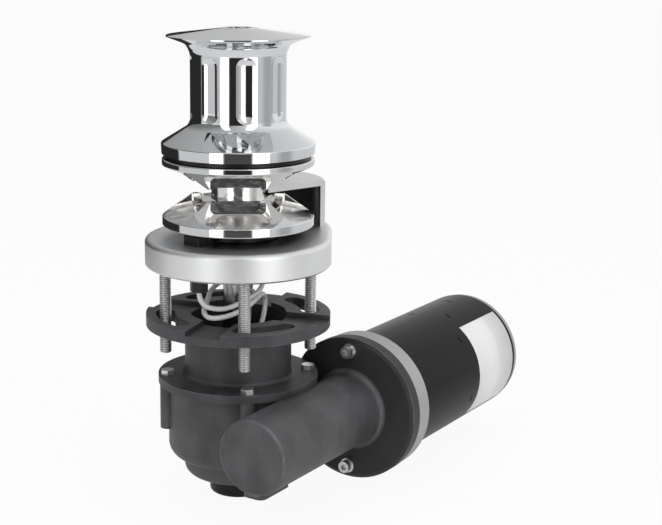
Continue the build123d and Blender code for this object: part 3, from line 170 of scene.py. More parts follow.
class Graph:
    """A node tree that is filled through one method."""

    def __init__(self, tree: bpy.types.NodeTree) -> None:
        """Empties a tree, to start from.

        Args:
            tree: The node tree of a material or a world.
        """
        self.tree = tree
        tree.nodes.clear()

    def node(
        self,
        kind: str,
        settings: Mapping[str, Any],
        inputs: Mapping[Any, Any],
        output: int | str = 0,
    ) -> Value:
        """Adds one node.

        Args:
            kind: The node's type.
            settings: Its properties, such as a Math node's operation.
            inputs: Values or links by socket name or number.
            output: The output socket that is wanted.

        Returns:
            The wanted output, or a value with no socket for a node that ends the tree.
        """
        made = self.tree.nodes.new(kind)
        for name, value in settings.items():
            setattr(made, name, value)
        for name, value in inputs.items():
            self.join(made.inputs[name], value)
        return Value(self, made.outputs[output] if made.outputs else None)

    def join(self, socket: bpy.types.NodeSocket, value: Any) -> None:
        """Links a value to a socket, or writes a number or colour on it.

        Args:
            socket: The input socket.
            value: A Value, a number, or three or four numbers.
        """
        if isinstance(value, Value):
            self.tree.links.new(value.socket, socket)
        elif isinstance(value, (tuple, list)) and socket.type == "RGBA":
            socket.default_value = (*value[:3], 1.0)
        else:
            socket.default_value = value

    def place(self) -> Value:
        """The point's place in the row frame, in metres."""
        return self.node("ShaderNodeTexCoord", {}, {}, "Object")

    def ray(self, kind: str) -> Value:
        """1 for rays of a kind, such as "Is Camera Ray"."""
        return self.node("ShaderNodeLightPath", {}, {}, kind)

    def round(self, grain: Grain) -> tuple[Value, Value]:
        """A point's distance from a line and its place along it.

        Args:
            grain: The line.

        Returns:
            The distance and the place, in metres.
        """
        x, y, z = self.place().parts()
        if grain is Grain.ROUND_X:
            across, up = y - WORM_Y, z - WORM_Z
            return (across * across + up * up).root(), x
        return (x * x + y * y).root(), z

    def scaled(self, point: Value, factors: Point) -> Value:
        """Stretches a point along the axes, before it feeds a texture."""
        return self.node("ShaderNodeVectorMath", {"operation": "MULTIPLY"}, {0: point, 1: factors})

    def noise(self, point: Value, scale: float, detail: float = 3.0, rough: float = 0.5) -> Value:
        """Noise from 0 to 1 at a scale in cycles per metre."""
        inputs = {"Vector": point, "Scale": scale, "Detail": detail, "Roughness": rough}
        return self.node("ShaderNodeTexNoise", {}, inputs)

    def mix(self, amount: Value, first: Colour | Value, second: Colour | Value) -> Value:
        """Blends two colours."""
        return self.node("ShaderNodeMix", {"data_type": "RGBA"}, {0: amount, 6: first, 7: second}, 2)

    def bump(self, height: Value, depth: float, strength: float = 1.0) -> Value:
        """Turns a height from 0 to 1 into a normal, with the depth in metres."""
        inputs = {"Height": height, "Distance": depth, "Strength": strength}
        return self.node("ShaderNodeBump", {}, inputs)

    def principled(self, **sockets: Any) -> Value:
        """A Principled shader.

        Args:
            **sockets: Values by socket name, with _ for a space.

        Returns:
            The shader.
        """
        inputs = {name.replace("_", " "): value for name, value in sockets.items()}
        return self.node("ShaderNodeBsdfPrincipled", {}, inputs)


class Surface(Graph):
    """The graph of a new material."""

    def __init__(self, name: str) -> None:
        """Makes the material.

        Args:
            name: The material's name.
        """
        self.material = bpy.data.materials.new(name)
        self.material.use_nodes = True
        super().__init__(self.material.node_tree)

    def done(self, shader: Value) -> bpy.types.Material:
        """Ends the graph with a shader.

        Args:
            shader: What the surface shows.

        Returns:
            The finished material.
        """
        self.node("ShaderNodeOutputMaterial", {}, {"Surface": shader})
        return self.material

    def surface(self, **sockets: Any) -> bpy.types.Material:
        """Ends the graph with one Principled shader.

        Args:
            **sockets: Values by socket name, with _ for a space.

        Returns:
            The finished material.
        """
        return self.done(self.principled(**sockets))


def shaded(colour: Colour, factor: float) -> Colour:
    """Makes a colour lighter or darker by a factor."""
    return tuple(min(1.0, c * factor) for c in colour)


@dataclass(frozen=True)
class MirrorMetal:
    """Polished and plated metal."""

    name: str
    tint: Colour = (0.66, 0.67, 0.68)
    gloss: float = 0.03
    gloss_spread: float = 0.04
    lighter: float = 1.06
    waves: float = 0.00008

    def build(self) -> bpy.types.Material:
        """Builds the material.

        Returns:
            The finished material.
        """
        g = Surface(self.name)
        spots = g.noise(g.place(), scale=140.0, detail=4.0)
        swirl = g.noise(g.place(), scale=38.0, detail=2.0)
        return g.surface(
            Base_Color=g.mix(spots, self.tint, shaded(self.tint, self.lighter)),
            Metallic=1.0,
            Roughness=spots.span(self.gloss, self.gloss + self.gloss_spread),
            Normal=g.bump(swirl, self.waves, strength=0.5),
        )


@dataclass(frozen=True)
class WheelMetal(MirrorMetal):
    """Plated chain wheel: turned lands are mirror-bright, cast pockets are duller."""

    cast: Colour = (0.78, 0.772, 0.762)
    land_radius: float = 61.7 * MM
    inner_radius: float = 40.0 * MM
    rim_radius: float = 62.3 * MM
    middle: float = 62.15 * MM
    half_throat: float = 5.3 * MM
    half_mouth: float = 21.55 * MM
    half_body: float = 26.0 * MM
    cone_reach: float = 0.5 * MM
    cone_blur: float = 0.3 * MM
    blur: float = 0.5 * MM
    cast_gloss: float = 0.1
    cast_gloss_end: float = 0.15
    sand_share: float = 0.2
    cast_depth: float = 0.0005

    def build(self) -> bpy.types.Material:
        """Builds the material.

        Returns:
            The finished material.
        """
        g = Surface(self.name)
        radius, along = g.round(Grain.ROUND_Z)
        height = abs(along - self.middle)
        slope = (self.half_mouth - self.half_throat) / (self.rim_radius - self.inner_radius)
        cone = (radius - self.inner_radius) * slope + self.half_throat
        on_cone = 1.0 - abs(height - cone).step(self.cone_reach, self.cone_blur)
        outside = radius.step(self.land_radius, self.blur)
        faces = height.step(self.half_body, self.blur)
        bright = on_cone.largest(outside).largest(faces)
        sand = g.noise(g.place(), scale=1500.0)
        waves = g.noise(g.place(), scale=120.0, detail=2.0)
        texture = (sand * self.sand_share + waves) * (1.0 - bright)
        pockets = sand.span(self.cast_gloss, self.cast_gloss_end)
        return g.surface(
            Base_Color=g.mix(bright, self.cast, self.tint),
            Metallic=1.0,
            Roughness=bright * (self.gloss - self.cast_gloss) + pockets,
            Normal=g.bump(texture, self.cast_depth, strength=0.5),
        )


@dataclass(frozen=True)
class SatinMetal:
    """Blasted, ground or brushed bare metal, with painted shade where dark() says so."""

    name: str
    tint: Colour
    rough: float
    spread: float = 0.06
    grain: Grain = Grain.NONE
    lines: float = 2500.0
    depth: float = 0.00002
    painted_shade_factor: float = 0.3
    dark_gloss: float = 0.0
    darker: float = 0.92
    lighter: float = 1.06

    def dark(self, g: Graph) -> Value | float:
        """How much painted shade a point takes, from 0 to 1."""
        return 0.0

    def build(self) -> bpy.types.Material:
        """Builds the material.

        Returns:
            The finished material.
        """
        g = Surface(self.name)
        at = g.place()
        if self.grain is not Grain.NONE:
            around, along = g.round(self.grain)
            at = g.node("ShaderNodeCombineXYZ", {}, {0: around, 1: along, 2: around})
        fine = g.noise(at, self.lines, detail=2.0)
        cloud = g.noise(g.place(), scale=60.0)
        shade = cloud * 0.5 + fine * 0.5
        # dark() says where painted shade darkens the tint.
        dark = self.dark(g)
        clean = g.mix(shade, shaded(self.tint, self.darker), shaded(self.tint, self.lighter))
        gloss = shade.span(self.rough - self.spread, self.rough + self.spread)
        return g.surface(
            Base_Color=g.mix(dark, clean, shaded(self.tint, self.painted_shade_factor)),
            Metallic=1.0,
            Roughness=gloss - dark * self.dark_gloss,
            Normal=g.bump(fine, self.depth),
        )


@dataclass(frozen=True)
class PlateMetal(SatinMetal):
    """Base plate: smoother round the shaft, with painted shade and reflection of the wheel's underside
    there.
    """

    ring: float = 50.0 * MM
    blend: float = 15.0 * MM
    top: float = 22.9 * MM
    top_blur: float = 0.1 * MM

    def dark(self, g: Graph) -> Value | float:
        """Painted shade and reflection on the top, inside the ring."""
        radius, along = g.round(Grain.ROUND_Z)
        return (1.0 - radius.step(self.ring, self.blend)) * along.step(self.top, self.top_blur)


@dataclass(frozen=True)
class HoodMetal(SatinMetal):
    """Hood: its inside is painted nearly black as shade."""

    lobe: tuple[float, float] = (46.35 * MM, 7.17 * MM)
    inside: float = 49.3 * MM
    ceiling: float = 58.3 * MM
    rear_azimuth: float = 30.0
    rear_wall: float = 3.7 * MM
    blur: float = 0.2 * MM

    def dark(self, g: Graph) -> Value | float:
        """Painted shade within the outer wall, under the slab and before the rear wall.

        Args:
            g: The material's graph.

        Returns:
            A value from 0 to 1.
        """
        x, y, z = g.place().parts()
        across, along = x - self.lobe[0], y - self.lobe[1]
        reach = (across * across + along * along).root()
        a = math.radians(self.rear_azimuth)
        clear = x * math.sin(a) - y * math.cos(a)
        within = 1.0 - reach.step(self.inside, self.blur)
        under = 1.0 - z.step(self.ceiling, self.blur)
        return within * under * clear.step(self.rear_wall, self.blur)


@dataclass(frozen=True)
class ThreadMetal(SatinMetal):
    """Threaded studs: oil and painted shade darken the thread's roots."""

    circle: float = STUD_CIRCLE * MM
    azimuth: float = STUD_AZIMUTH
    root: float = 4.5 * MM
    blend: float = 0.5 * MM

    def dark(self, g: Graph) -> Value | float:
        """Painted shade near each stud's own line.

        Args:
            g: The material's graph.

        Returns:
            A value from 0 to 1.
        """
        x, y, _ = g.place().parts()
        a = math.radians(self.azimuth)
        across = abs(x * math.cos(a) + y * math.sin(a))
        along = abs(y * math.cos(a) - x * math.sin(a))
        out = across.largest(along) - self.circle
        side = across.smallest(along)
        return 1.0 - (out * out + side * side).root().step(self.root, self.blend)


@dataclass(frozen=True)
class Rim:
    """A round edge that gets a painted highlight along it."""

    line: Grain
    radius: float
    along: float
    width: float = 0.9 * MM


@dataclass(frozen=True)
class Casting:
    """Dark casting with a fine grain, faint rubbed places and painted highlights along its rims."""

    name: str
    deep: Colour
    worn_and_highlight: Colour
    rough: float = 0.47
    rims: tuple[Rim, ...] = ()
    cloud_share: float = 0.6
    sand_share: float = 0.3
    rub_share: float = 0.6
    highlight_everywhere: float = 0.12
    highlight_patches: float = 0.6
    darkest: float = 0.35
    brightest: float = 1.6
    smoother: float = 0.07
    rougher: float = 0.1
    shine: float = 0.4
    depth: float = 0.0001

    def light(self, g: Graph) -> Value | float:
        """How much of the lighter tone a point takes beside the rubs, from 0 to 1."""
        return 0.0

    def dark(self, g: Graph) -> Value | float:
        """How much of the near-black tone a point takes, from 0 to 1."""
        return 0.0

    def painted_rim_highlight(self, g: Graph) -> Value | float:
        """Painted highlights along the rims, broken up by noise.

        Args:
            g: The material's graph.

        Returns:
            A value from 0 up.
        """
        total: Value | float = 0.0
        for rim in self.rims:
            radius, along = g.round(rim.line)
            out, up = radius - rim.radius, along - rim.along
            total = (1.0 - (out * out + up * up).root().step(rim.width, rim.width)) + total
        patches = g.noise(g.place(), scale=70.0, detail=4.0, rough=0.6).step(edge=0.55, width=0.3)
        return total * (patches * self.highlight_patches + self.highlight_everywhere)

    def build(self) -> bpy.types.Material:
        """Builds the material.

        Returns:
            The finished material.
        """
        g = Surface(self.name)
        sand = g.noise(g.place(), scale=1400.0, detail=4.0, rough=0.6)
        cloud = g.noise(g.scaled(g.place(), (1.0, 1.0, 0.6)), scale=34.0, detail=4.0)
        rubs = g.noise(g.place(), scale=210.0, detail=5.0, rough=0.65).step(edge=0.72, width=0.1)
        clouded = cloud.step(edge=0.5, width=0.4) * self.cloud_share
        grain = clouded + sand.step(edge=0.5, width=0.5) * self.sand_share
        tone = (grain + rubs * self.rub_share + self.light(g)).smallest(1.0)
        body = g.mix(tone, self.deep, self.worn_and_highlight)
        dimmed = g.mix(self.dark(g), body, shaded(self.deep, self.darkest))
        return g.surface(
            # The rims get a painted highlight over the body colour.
            Base_Color=g.mix(self.painted_rim_highlight(g).smallest(1.0), dimmed, shaded(self.worn_and_highlight, self.brightest)),
            Metallic=0.0,
            Roughness=cloud.span(self.rough - self.smoother, self.rough + self.rougher),
            Specular_IOR_Level=self.shine,
            Normal=g.bump(sand + cloud, self.depth, strength=0.8),
        )


@dataclass(frozen=True)
class CoverCasting(Casting):
    """Gearbox cover: its pads' tops are lighter than the plate between them."""

    pad_top: float = -41.3 * MM
    pad_blur: float = 0.1 * MM
    pad_share: float = 0.8

    def light(self, g: Graph) -> Value | float:
        """Light on the pads' tops."""
        return g.place().parts()[2].step(self.pad_top, self.pad_blur) * self.pad_share


@dataclass(frozen=True)
class CaseCasting(Casting):
    """Gearcase: its motor flange is darker than the worm tube."""

    flange: float = 58.7 * MM
    flange_blur: float = 0.3 * MM
    flange_share: float = 0.85

    def dark(self, g: Graph) -> Value | float:
        """Dark on the flange."""
        return g.place().parts()[0].step(self.flange, self.flange_blur) * self.flange_share


@dataclass(frozen=True)
class Moulded:
    """Moulded plastic, rubber, carbon or painted sheet metal."""

    name: str
    tint: Colour
    rough: float
    texture: float = 900.0
    depth: float = 0.00003
    shine: float = 0.5
    contrast: float = 0.25
    spread: float = 0.05

    def build(self) -> bpy.types.Material:
        """Builds the material.

        Returns:
            The finished material.
        """
        g = Surface(self.name)
        fine = g.noise(g.place(), self.texture)
        cloud = g.noise(g.place(), scale=70.0)
        low, high = shaded(self.tint, 1 - self.contrast), shaded(self.tint, 1 + self.contrast)
        return g.surface(
            Base_Color=g.mix(cloud, low, high),
            Metallic=0.0,
            Roughness=fine.span(self.rough - self.spread, self.rough + self.spread),
            Specular_IOR_Level=self.shine,
            Normal=g.bump(fine, self.depth),
        )


@dataclass(frozen=True)
class Laminations:
    """Stacked sheet steel with a fine pitch along the worm line."""

    name: str
    tint: Colour = (0.3, 0.3, 0.31)
    pitch: float = 0.5 * MM
    rough: float = 0.45
    metallic: float = 0.8
    gap: float = 0.5
    depth: float = 0.00004

    def build(self) -> bpy.types.Material:
        """Builds the material.

        Returns:
            The finished material.
        """
        g = Surface(self.name)
        along = g.round(Grain.ROUND_X)[1]
        sheet = (along * (2 * math.pi / self.pitch)).sine().span(0.5, 1.0)
        return g.surface(
            Base_Color=g.mix(sheet, shaded(self.tint, self.gap), self.tint),
            Metallic=self.metallic,
            Roughness=self.rough,
            Normal=g.bump(sheet, self.depth),
        )


@dataclass(frozen=True)
class PaleFloor:
    """Plain floor that looks nearly white and keeps the object's shadow."""

    name: str = "pale floor"
    low: Colour = (0.86, 0.86, 0.86)
    high: Colour = (0.88, 0.88, 0.88)
    rough: float = 0.9
    white: float = 0.93
    white_in_metal: float = 0.45

    def build(self) -> bpy.types.Material:
        """Builds the material.

        Returns:
            The finished material.
        """
        g = Surface(self.name)
        cloud = g.noise(g.place(), scale=3.0, detail=2.0)
        ground = g.principled(
            Base_Color=g.mix(cloud, self.low, self.high),
            Roughness=self.rough,
            Specular_IOR_Level=0.0,
        )
        glow = g.node("ShaderNodeEmission", {}, {"Color": WHITE, "Strength": 1.0})
        amount = g.ray("Is Camera Ray") * self.white + g.ray("Is Glossy Ray") * self.white_in_metal
        return g.done(g.node("ShaderNodeMixShader", {}, {0: amount, 1: ground, 2: glow}))


@dataclass(frozen=True)
class CardCloth:
    """Cloth of a studio card, with soft ends and its own tone low down."""

    name: str
    facing: float
    first: float
    last: float
    tone: float
    low_tone: float
    fade: float = 1.0
    change: float = -110.0 * MM
    change_blur: float = 60.0 * MM

    def build(self) -> bpy.types.Material:
        """Builds the material.

        Returns:
            The finished material.
        """
        g = Surface(self.name)
        x, y, z = g.place().parts()
        a = math.radians(self.facing)
        toward = x * math.cos(a) + y * math.sin(a)
        right = y * math.cos(a) - x * math.sin(a)
        angle = right.bearing(toward) * (180 / math.pi)
        start = angle.step(self.first + self.fade / 2, self.fade)
        end = 1.0 - angle.step(self.last - self.fade / 2, self.fade)
        high = z.step(self.change, self.change_blur)
        return g.surface(
            Base_Color=UNLIT,
            Roughness=1.0,
            Specular_IOR_Level=0.0,
            Emission_Color=g.mix(high, (self.low_tone,) * 3, (self.tone,) * 3),
            Emission_Strength=1.0,
            Alpha=start * end,
        )


@dataclass(frozen=True)
class CeilingCloth:
    """Grey ceiling that grows lighter towards the picture's right."""

    name: str
    facing: float
    left: float = 0.24
    right: float = 1.05
    blend: float = 8.0

    def build(self) -> bpy.types.Material:
        """Builds the material.

        Returns:
            The finished material.
        """
        g = Surface(self.name)
        x, y, _ = g.place().parts()
        a = math.radians(self.facing)
        side = (y * math.cos(a) - x * math.sin(a)).step(0.0, self.blend)
        return g.surface(
            Base_Color=UNLIT,
            Roughness=1.0,
            Specular_IOR_Level=0.0,
            Emission_Color=g.mix(side, (self.left,) * 3, (self.right,) * 3),
            Emission_Strength=1.0,
        )


def skin(
    name: str, points: Sequence[Point], faces: Sequence[Sequence[int]], smooth: bool = True
) -> bpy.types.Object:
    """Makes a mesh object from points in millimetres.

    Args:
        name: The object's name.
        points: Its vertices.
        faces: Its faces.
        smooth: Whether the faces are shaded smooth.

    Returns:
        The linked object.
    """
    mesh = bpy.data.meshes.new(name)
    mesh.from_pydata([tuple(c * MM for c in p) for p in points], [], [list(f) for f in faces])
    mesh.polygons.foreach_set("use_smooth", [smooth] * len(mesh.polygons))
    mesh.update()
    piece = bpy.data.objects.new(name, mesh)
    bpy.context.scene.collection.objects.link(piece)
    return piece


def on_worm_line(x: float, radius: float, angle: float) -> Point:
    """Point about the worm line, in millimetres, with the angle in degrees from +Y towards +Z."""
    a = math.radians(angle)
    return (x, WORM_Y / MM + radius * math.cos(a), WORM_Z / MM + radius * math.sin(a))


def dress(piece: bpy.types.Object, material: bpy.types.Material) -> None:
    """Gives a piece one material on all its faces.

    Args:
        piece: The piece.
        material: The material.
    """
    piece.data.materials.clear()
    piece.data.materials.append(material)
    for polygon in getattr(piece.data, "polygons", ()):
        polygon.material_index = 0


@dataclass
class ThreadedRod:
    """A round bar with a metric thread, upright, with its sizes in millimetres."""

    pitch: float
    radius: float
    bottom: float
    thread_end: float
    top: float
    chamfer: float = 1.0
    around: int = 40
    per_turn: int = 10
    depth_factor: float = 0.6134
    flank_slope: float = 2.6
    root_flat: float = 0.25

    def radius_at(self, height: float, turn: float) -> float:
        """Radius of the thread at one place.

        Args:
            height: The place's height, in millimetres.
            turn: The place's angle as a turn from 0 to 1.

        Returns:
            The radius in millimetres.
        """
        depth = self.depth_factor * self.pitch
        phase = (height / self.pitch - turn) % 1.0
        crest = min(1.0, max(0.0, abs(phase - 0.5) * self.flank_slope - self.root_flat))
        out = self.radius - depth * (1.0 - crest)
        fade = max(0.0, min(1.0, (height - self.thread_end + self.pitch) / self.pitch))
        out += (self.radius - out) * fade
        edge = self.radius - self.chamfer + (height - self.bottom)
        return min(out, edge)

    def shape(self, centre: Point) -> Shape:
        """Points and faces of one rod.

        Args:
            centre: The rod's axis, in millimetres.

        Returns:
            The points and the faces.
        """
        step = self.pitch / self.per_turn
        count = int((self.thread_end - self.bottom) / step) + 1
        heights = [self.bottom + step * i for i in range(count)]
        heights += [self.thread_end, self.top]
        points: list[Point] = []
        for height in heights:
            for j in range(self.around):
                turn = j / self.around
                r = self.radius_at(height, turn)
                a = 2 * math.pi * turn
                points.append((centre[0] + r * math.cos(a), centre[1] + r * math.sin(a), height))
        faces: list[tuple[int, ...]] = []
        for i in range(len(heights) - 1):
            for j in range(self.around):
                k = (j + 1) % self.around
                low, high = i * self.around, (i + 1) * self.around
                faces.append((low + j, low + k, high + k, high + j))
        faces.append(tuple(reversed(range(self.around))))
        faces.append(tuple((len(heights) - 1) * self.around + j for j in range(self.around)))
        return points, faces


@dataclass
class CanPatch:
    """A thin piece that lies on the round can, between two places and two angles."""

    start: float
    end: float
    first: float
    last: float
    inner: float = 54.3
    outer: float = 54.5
    steps: int = 48

    def shape(self) -> Shape:
        """Points and faces of the patch as a closed shell.

        Returns:
            The points and the faces.
        """
        points: list[Point] = []
        for i in range(self.steps + 1):
            angle = self.first + (self.last - self.first) * i / self.steps
            for radius in (self.inner, self.outer):
                for x in (self.start, self.end):
                    points.append(on_worm_line(x, radius, angle))
        faces: list[tuple[int, ...]] = [(0, 1, 3, 2)]
        for i in range(self.steps):
            a, b = 4 * i, 4 * (i + 1)
            faces += [
                (a + 2, a + 3, b + 3, b + 2),
                (a + 1, a, b, b + 1),
                (a, a + 2, b + 2, b),
                (a + 3, a + 1, b + 1, b + 3),
            ]
        end = 4 * self.steps
        faces.append((end + 1, end, end + 2, end + 3))
        return points, faces


def joined(shapes: Sequence[Shape]) -> Shape:
    """Puts several shapes into one.

    Args:
        shapes: The points and faces of each.

    Returns:
        One list of points and one of faces.
    """
    points: list[Point] = []
    faces: list[tuple[int, ...]] = []
    for some_points, some_faces in shapes:
        base = len(points)
        points += some_points
        faces += [tuple(base + i for i in face) for face in some_faces]
    return points, faces


def soften(piece: bpy.types.Object, width: float) -> None:
    """Rounds a CAD piece's sharp edges.

    Args:
        piece: The piece.
        width: The rounding's width, in millimetres.
    """
    flat = piece.modifiers.new("flat faces", "DECIMATE")
    flat.decimate_type = "DISSOLVE"
    flat.angle_limit = math.radians(FLAT_ANGLE)
    edge = piece.modifiers.new("soft edges", "BEVEL")
    edge.width = width * MM
    edge.segments = 2
    edge.limit_method = "ANGLE"
    edge.angle_limit = math.radians(SHARP_ANGLE)
    edge.harden_normals = True


@dataclass
class Assembly:
    """A group of CAD nodes with their finishes."""

    finishes: dict[str, Any] = field(default_factory=dict)
    edges: dict[str, float] = field(default_factory=dict)

    def dress_nodes(self) -> None:
        """Gives every node of the group its finish and its soft edges."""
        built: dict[Any, bpy.types.Material] = {}
        for node, finish in self.finishes.items():
            if finish not in built:
                built[finish] = finish.build()
            dress(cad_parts[node], built[finish])
            if node in self.edges:
                soften(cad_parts[node], self.edges[node])
            LOG.info("node %s: %s", node, finish.name)

    def build(self) -> None:
        """Dresses the nodes and adds the group's own pieces."""
        self.dress_nodes()


CHROME = MirrorMetal("polished chrome")
WHEEL = WheelMetal("chain wheel chrome")
# The plate, hood and thread finishes darken their tint in places as painted shade.
PLATE = PlateMetal(
    "satin anodised plate",
    (0.76, 0.765, 0.77),
    rough=0.43,
    depth=0.00001,
    lines=1800.0,
    painted_shade_factor=0.48,
    dark_gloss=0.14,
)
HOOD = HoodMetal(
    "satin anodised hood",
    (0.75, 0.755, 0.76),
    rough=0.36,
    depth=0.00001,
    lines=1800.0,
    painted_shade_factor=0.25,
    dark_gloss=-0.2,
)
BLACK = Moulded("black plastic", (0.006, 0.006, 0.0065), rough=0.32, shine=0.3)
THREAD = ThreadMetal("stainless thread", (0.95, 0.945, 0.935), rough=0.4, spread=0.05, painted_shade_factor=0.42)
BOLT = SatinMetal("bright bolt", (0.78, 0.78, 0.77), rough=0.3)
GROUND = SatinMetal("ground shaft", (0.3, 0.3, 0.3), rough=0.18, spread=0.05, grain=Grain.ROUND_Z)
GROUND_X = SatinMetal("ground motor shaft", (0.42, 0.42, 0.42), rough=0.28, spread=0.05, grain=Grain.ROUND_X)
BRONZE = SatinMetal("bearing bronze", (0.52, 0.33, 0.16), rough=0.32)
BRASS = SatinMetal("terminal brass", (0.62, 0.46, 0.2), rough=0.26)
RUBBER = Moulded("seal rubber", (0.02, 0.02, 0.02), rough=0.6)
COVER = CoverCasting(
    "dark cover casting",
    deep=(0.025, 0.026, 0.028),
    worn_and_highlight=(0.072, 0.074, 0.078),
    # Round edges that get a painted highlight.
    rims=(
        Rim(Grain.ROUND_Z, radius=76.8 * MM, along=-41.2 * MM, width=0.5 * MM),
        Rim(Grain.ROUND_Z, radius=76.8 * MM, along=-51.0 * MM, width=0.5 * MM),
        Rim(Grain.ROUND_Z, radius=67.0 * MM, along=-93.6 * MM),
        Rim(Grain.ROUND_Z, radius=67.0 * MM, along=-100.3 * MM, width=0.5 * MM),
    ),
)
CASE = CaseCasting(
    "dark gearcase casting",
    deep=(0.036, 0.037, 0.039),
    worn_and_highlight=(0.1, 0.102, 0.106),
    # Round edges that get a painted highlight.
    rims=(
        Rim(Grain.ROUND_X, radius=30.2 * MM, along=-87.5 * MM, width=1.3 * MM),
        Rim(Grain.ROUND_X, radius=61.7 * MM, along=60.9 * MM, width=0.6 * MM),
        Rim(Grain.ROUND_X, radius=32.5 * MM, along=57.4 * MM, width=0.7 * MM),
    ),
)
PAPER = Moulded("gasket paper", (0.2, 0.11, 0.06), rough=0.8, texture=700.0)
CAN_BLACK = Moulded(
    "motor black",
    (0.004, 0.0042, 0.0048),
    rough=0.3,
    texture=500.0,
    depth=0.00002,
    shine=0.1,
    contrast=0.2,
)
CAN_RIM = SatinMetal("turned cap rim", (0.4, 0.4, 0.4), rough=0.4, spread=0.05, grain=Grain.ROUND_X)
ADAPTER = SatinMetal(
    "turned adapter ring",
    (0.42, 0.42, 0.425),
    rough=0.42,
    grain=Grain.ROUND_X,
    depth=0.00003,
)
FERRITE = Moulded("ferrite", (0.04, 0.04, 0.042), rough=0.6)
CORE = Laminations("core laminations")
COPPER = SatinMetal("varnished copper", (0.6, 0.26, 0.12), rough=0.3)
CARBON = Moulded("brush carbon", (0.03, 0.03, 0.03), rough=0.55)
LEAD_GREY = Moulded(
    "lead sheath",
    (0.8, 0.8, 0.78),
    rough=0.42,
    texture=600.0,
    depth=0.00002,
    contrast=0.06,
)
PLUG_BLACK = Moulded("plug plastic", (0.012, 0.012, 0.013), rough=0.45)
STICKER = Moulded(
    "bare sticker",
    (0.9, 0.905, 0.91),
    rough=0.3,
    texture=300.0,
    depth=0.00001,
    contrast=0.02,
)
STAKING_SHADE = Moulded("painted staking shade", (0.002, 0.002, 0.002), rough=0.7, shine=0.1)


@dataclass
class AboveDeck(Assembly):
    """Drum, chain wheel, cones, base plate and hood."""

    finishes: dict[str, Any] = field(
        default_factory=lambda: {
            "drum": CHROME,
            "chain_wheel": WHEEL,
            "upper_cone": BLACK,
            "lower_cone": BLACK,
            "base_plate": PLATE,
            "chain_hood": HOOD,
            "hood_screws": BOLT,
            "clutch_nut": BOLT,
            "clutch_springs": GROUND,
            "wheel_bush": BRONZE,
            "wheel_magnet": FERRITE,
            "base_bush": BRONZE,
            "base_seal": RUBBER,
            "main_shaft": GROUND,
            "shaft_keys": GROUND,
            "shaft_circlips": GROUND,
            "chain_sensor": BLACK,
            "sensor_nut": BLACK,
        }
    )
    edges: dict[str, float] = field(default_factory=lambda: {"chain_hood": 0.4, "clutch_nut": 0.3})


@dataclass
class DeckStuds(Assembly):
    """Four threaded studs that hang from the base plate."""

    circle: float = STUD_CIRCLE
    azimuth: float = STUD_AZIMUTH
    count: int = 4
    rod: ThreadedRod = field(
        default_factory=lambda: ThreadedRod(
            pitch=1.5, radius=5.0, bottom=-75.0, thread_end=-1.5, top=12.0
        )
    )

    def build(self) -> None:
        """Replaces the plain studs with threaded ones."""
        shapes = []
        for i in range(self.count):
            a = math.radians(self.azimuth + 360 / self.count * i)
            shapes.append(self.rod.shape((self.circle * math.cos(a), self.circle * math.sin(a), 0.0)))
        studs = skin("threaded_studs", *joined(shapes))
        dress(studs, THREAD.build())
        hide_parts("deck_studs")
        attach(studs, "housing")
        LOG.info("piece %s", studs.name)


@dataclass
class SensorLead(Assembly):
    """The chain sensor's lead, coiled round the shaft, with its plug."""

    finishes: dict[str, Any] = field(default_factory=lambda: {"lead_plug": PLUG_BLACK})
    diameter: float = 4.2
    bevel_steps: int = 6
    curve_steps: int = 16
    curve_order: int = 3
    route: Sequence[Point] = (
        (-44.3, 7.7, -16.0),
        (-44.3, 7.7, -28.0),
        (-36.0, -10.0, -31.5),
        (-19.0, -18.5, -26.5),
        (2.0, -20.0, -22.0),
        (21.5, -11.5, -17.5),
        (30.0, 7.0, -15.5),
        (21.5, 25.5, -19.5),
        (1.5, 29.5, -26.5),
        (-16.5, 20.0, -33.0),
        (-35.0, 11.0, -36.0),
        (-46.5, -4.0, -37.5),
        (-35.5, -19.0, -34.5),
        (-16.0, -24.0, -28.5),
        (4.0, -20.5, -23.5),
        (17.5, -15.5, -29.0),
        (16.5, -15.5, -43.0),
        (3.5, -20.0, -53.0),
        (-10.5, -25.0, -66.0),
        (-22.5, -19.5, -77.5),
        (-28.0, -8.0, -82.0),
        (-26.5, 5.0, -82.0),
    )

    def build(self) -> None:
        """Lays the lead along its route as one smooth curve."""
        self.dress_nodes()
        curve = bpy.data.curves.new("lead_cable", "CURVE")
        curve.dimensions = "3D"
        curve.bevel_depth = self.diameter / 2 * MM
        curve.bevel_resolution = self.bevel_steps
        curve.resolution_u = self.curve_steps
        spline = curve.splines.new("NURBS")
        spline.points.add(len(self.route) - 1)
        for point, place in zip(spline.points, self.route):
            point.co = (*(c * MM for c in place), 1.0)
        spline.order_u = self.curve_order
        spline.use_endpoint_u = True
        lead = bpy.data.objects.new("lead_cable", curve)
        bpy.context.scene.collection.objects.link(lead)
        curve.materials.append(LEAD_GREY.build())
        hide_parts("sensor_lead")
        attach(lead, "housing")
        LOG.info("piece %s", lead.name)


@dataclass
class Gearbox(Assembly):
    """Cover, gearcase, worm and wheel with their bearings and seals."""

    finishes: dict[str, Any] = field(
        default_factory=lambda: {
            "gearbox_cover": COVER,
            "gearcase": CASE,
            "cover_bolts": BOLT,
            "cover_gasket": PAPER,
            "cover_bush": BRONZE,
            "cover_seal": RUBBER,
            "bottom_bush": BRONZE,
            "thrust_washer": BRONZE,
            "bottom_cap": BLACK,
            "worm_wheel": BRONZE,
            "worm_shaft": GROUND_X,
            "worm_bearing_outer_rings": GROUND_X,
            "worm_bearing_inner_rings": GROUND_X,
            "worm_seal": RUBBER,
            "flange_screws": BOLT,
            "flange_washers": BOLT,
        }
    )
    edges: dict[str, float] = field(default_factory=lambda: {"cover_bolts": 0.35, "flange_screws": 0.4})


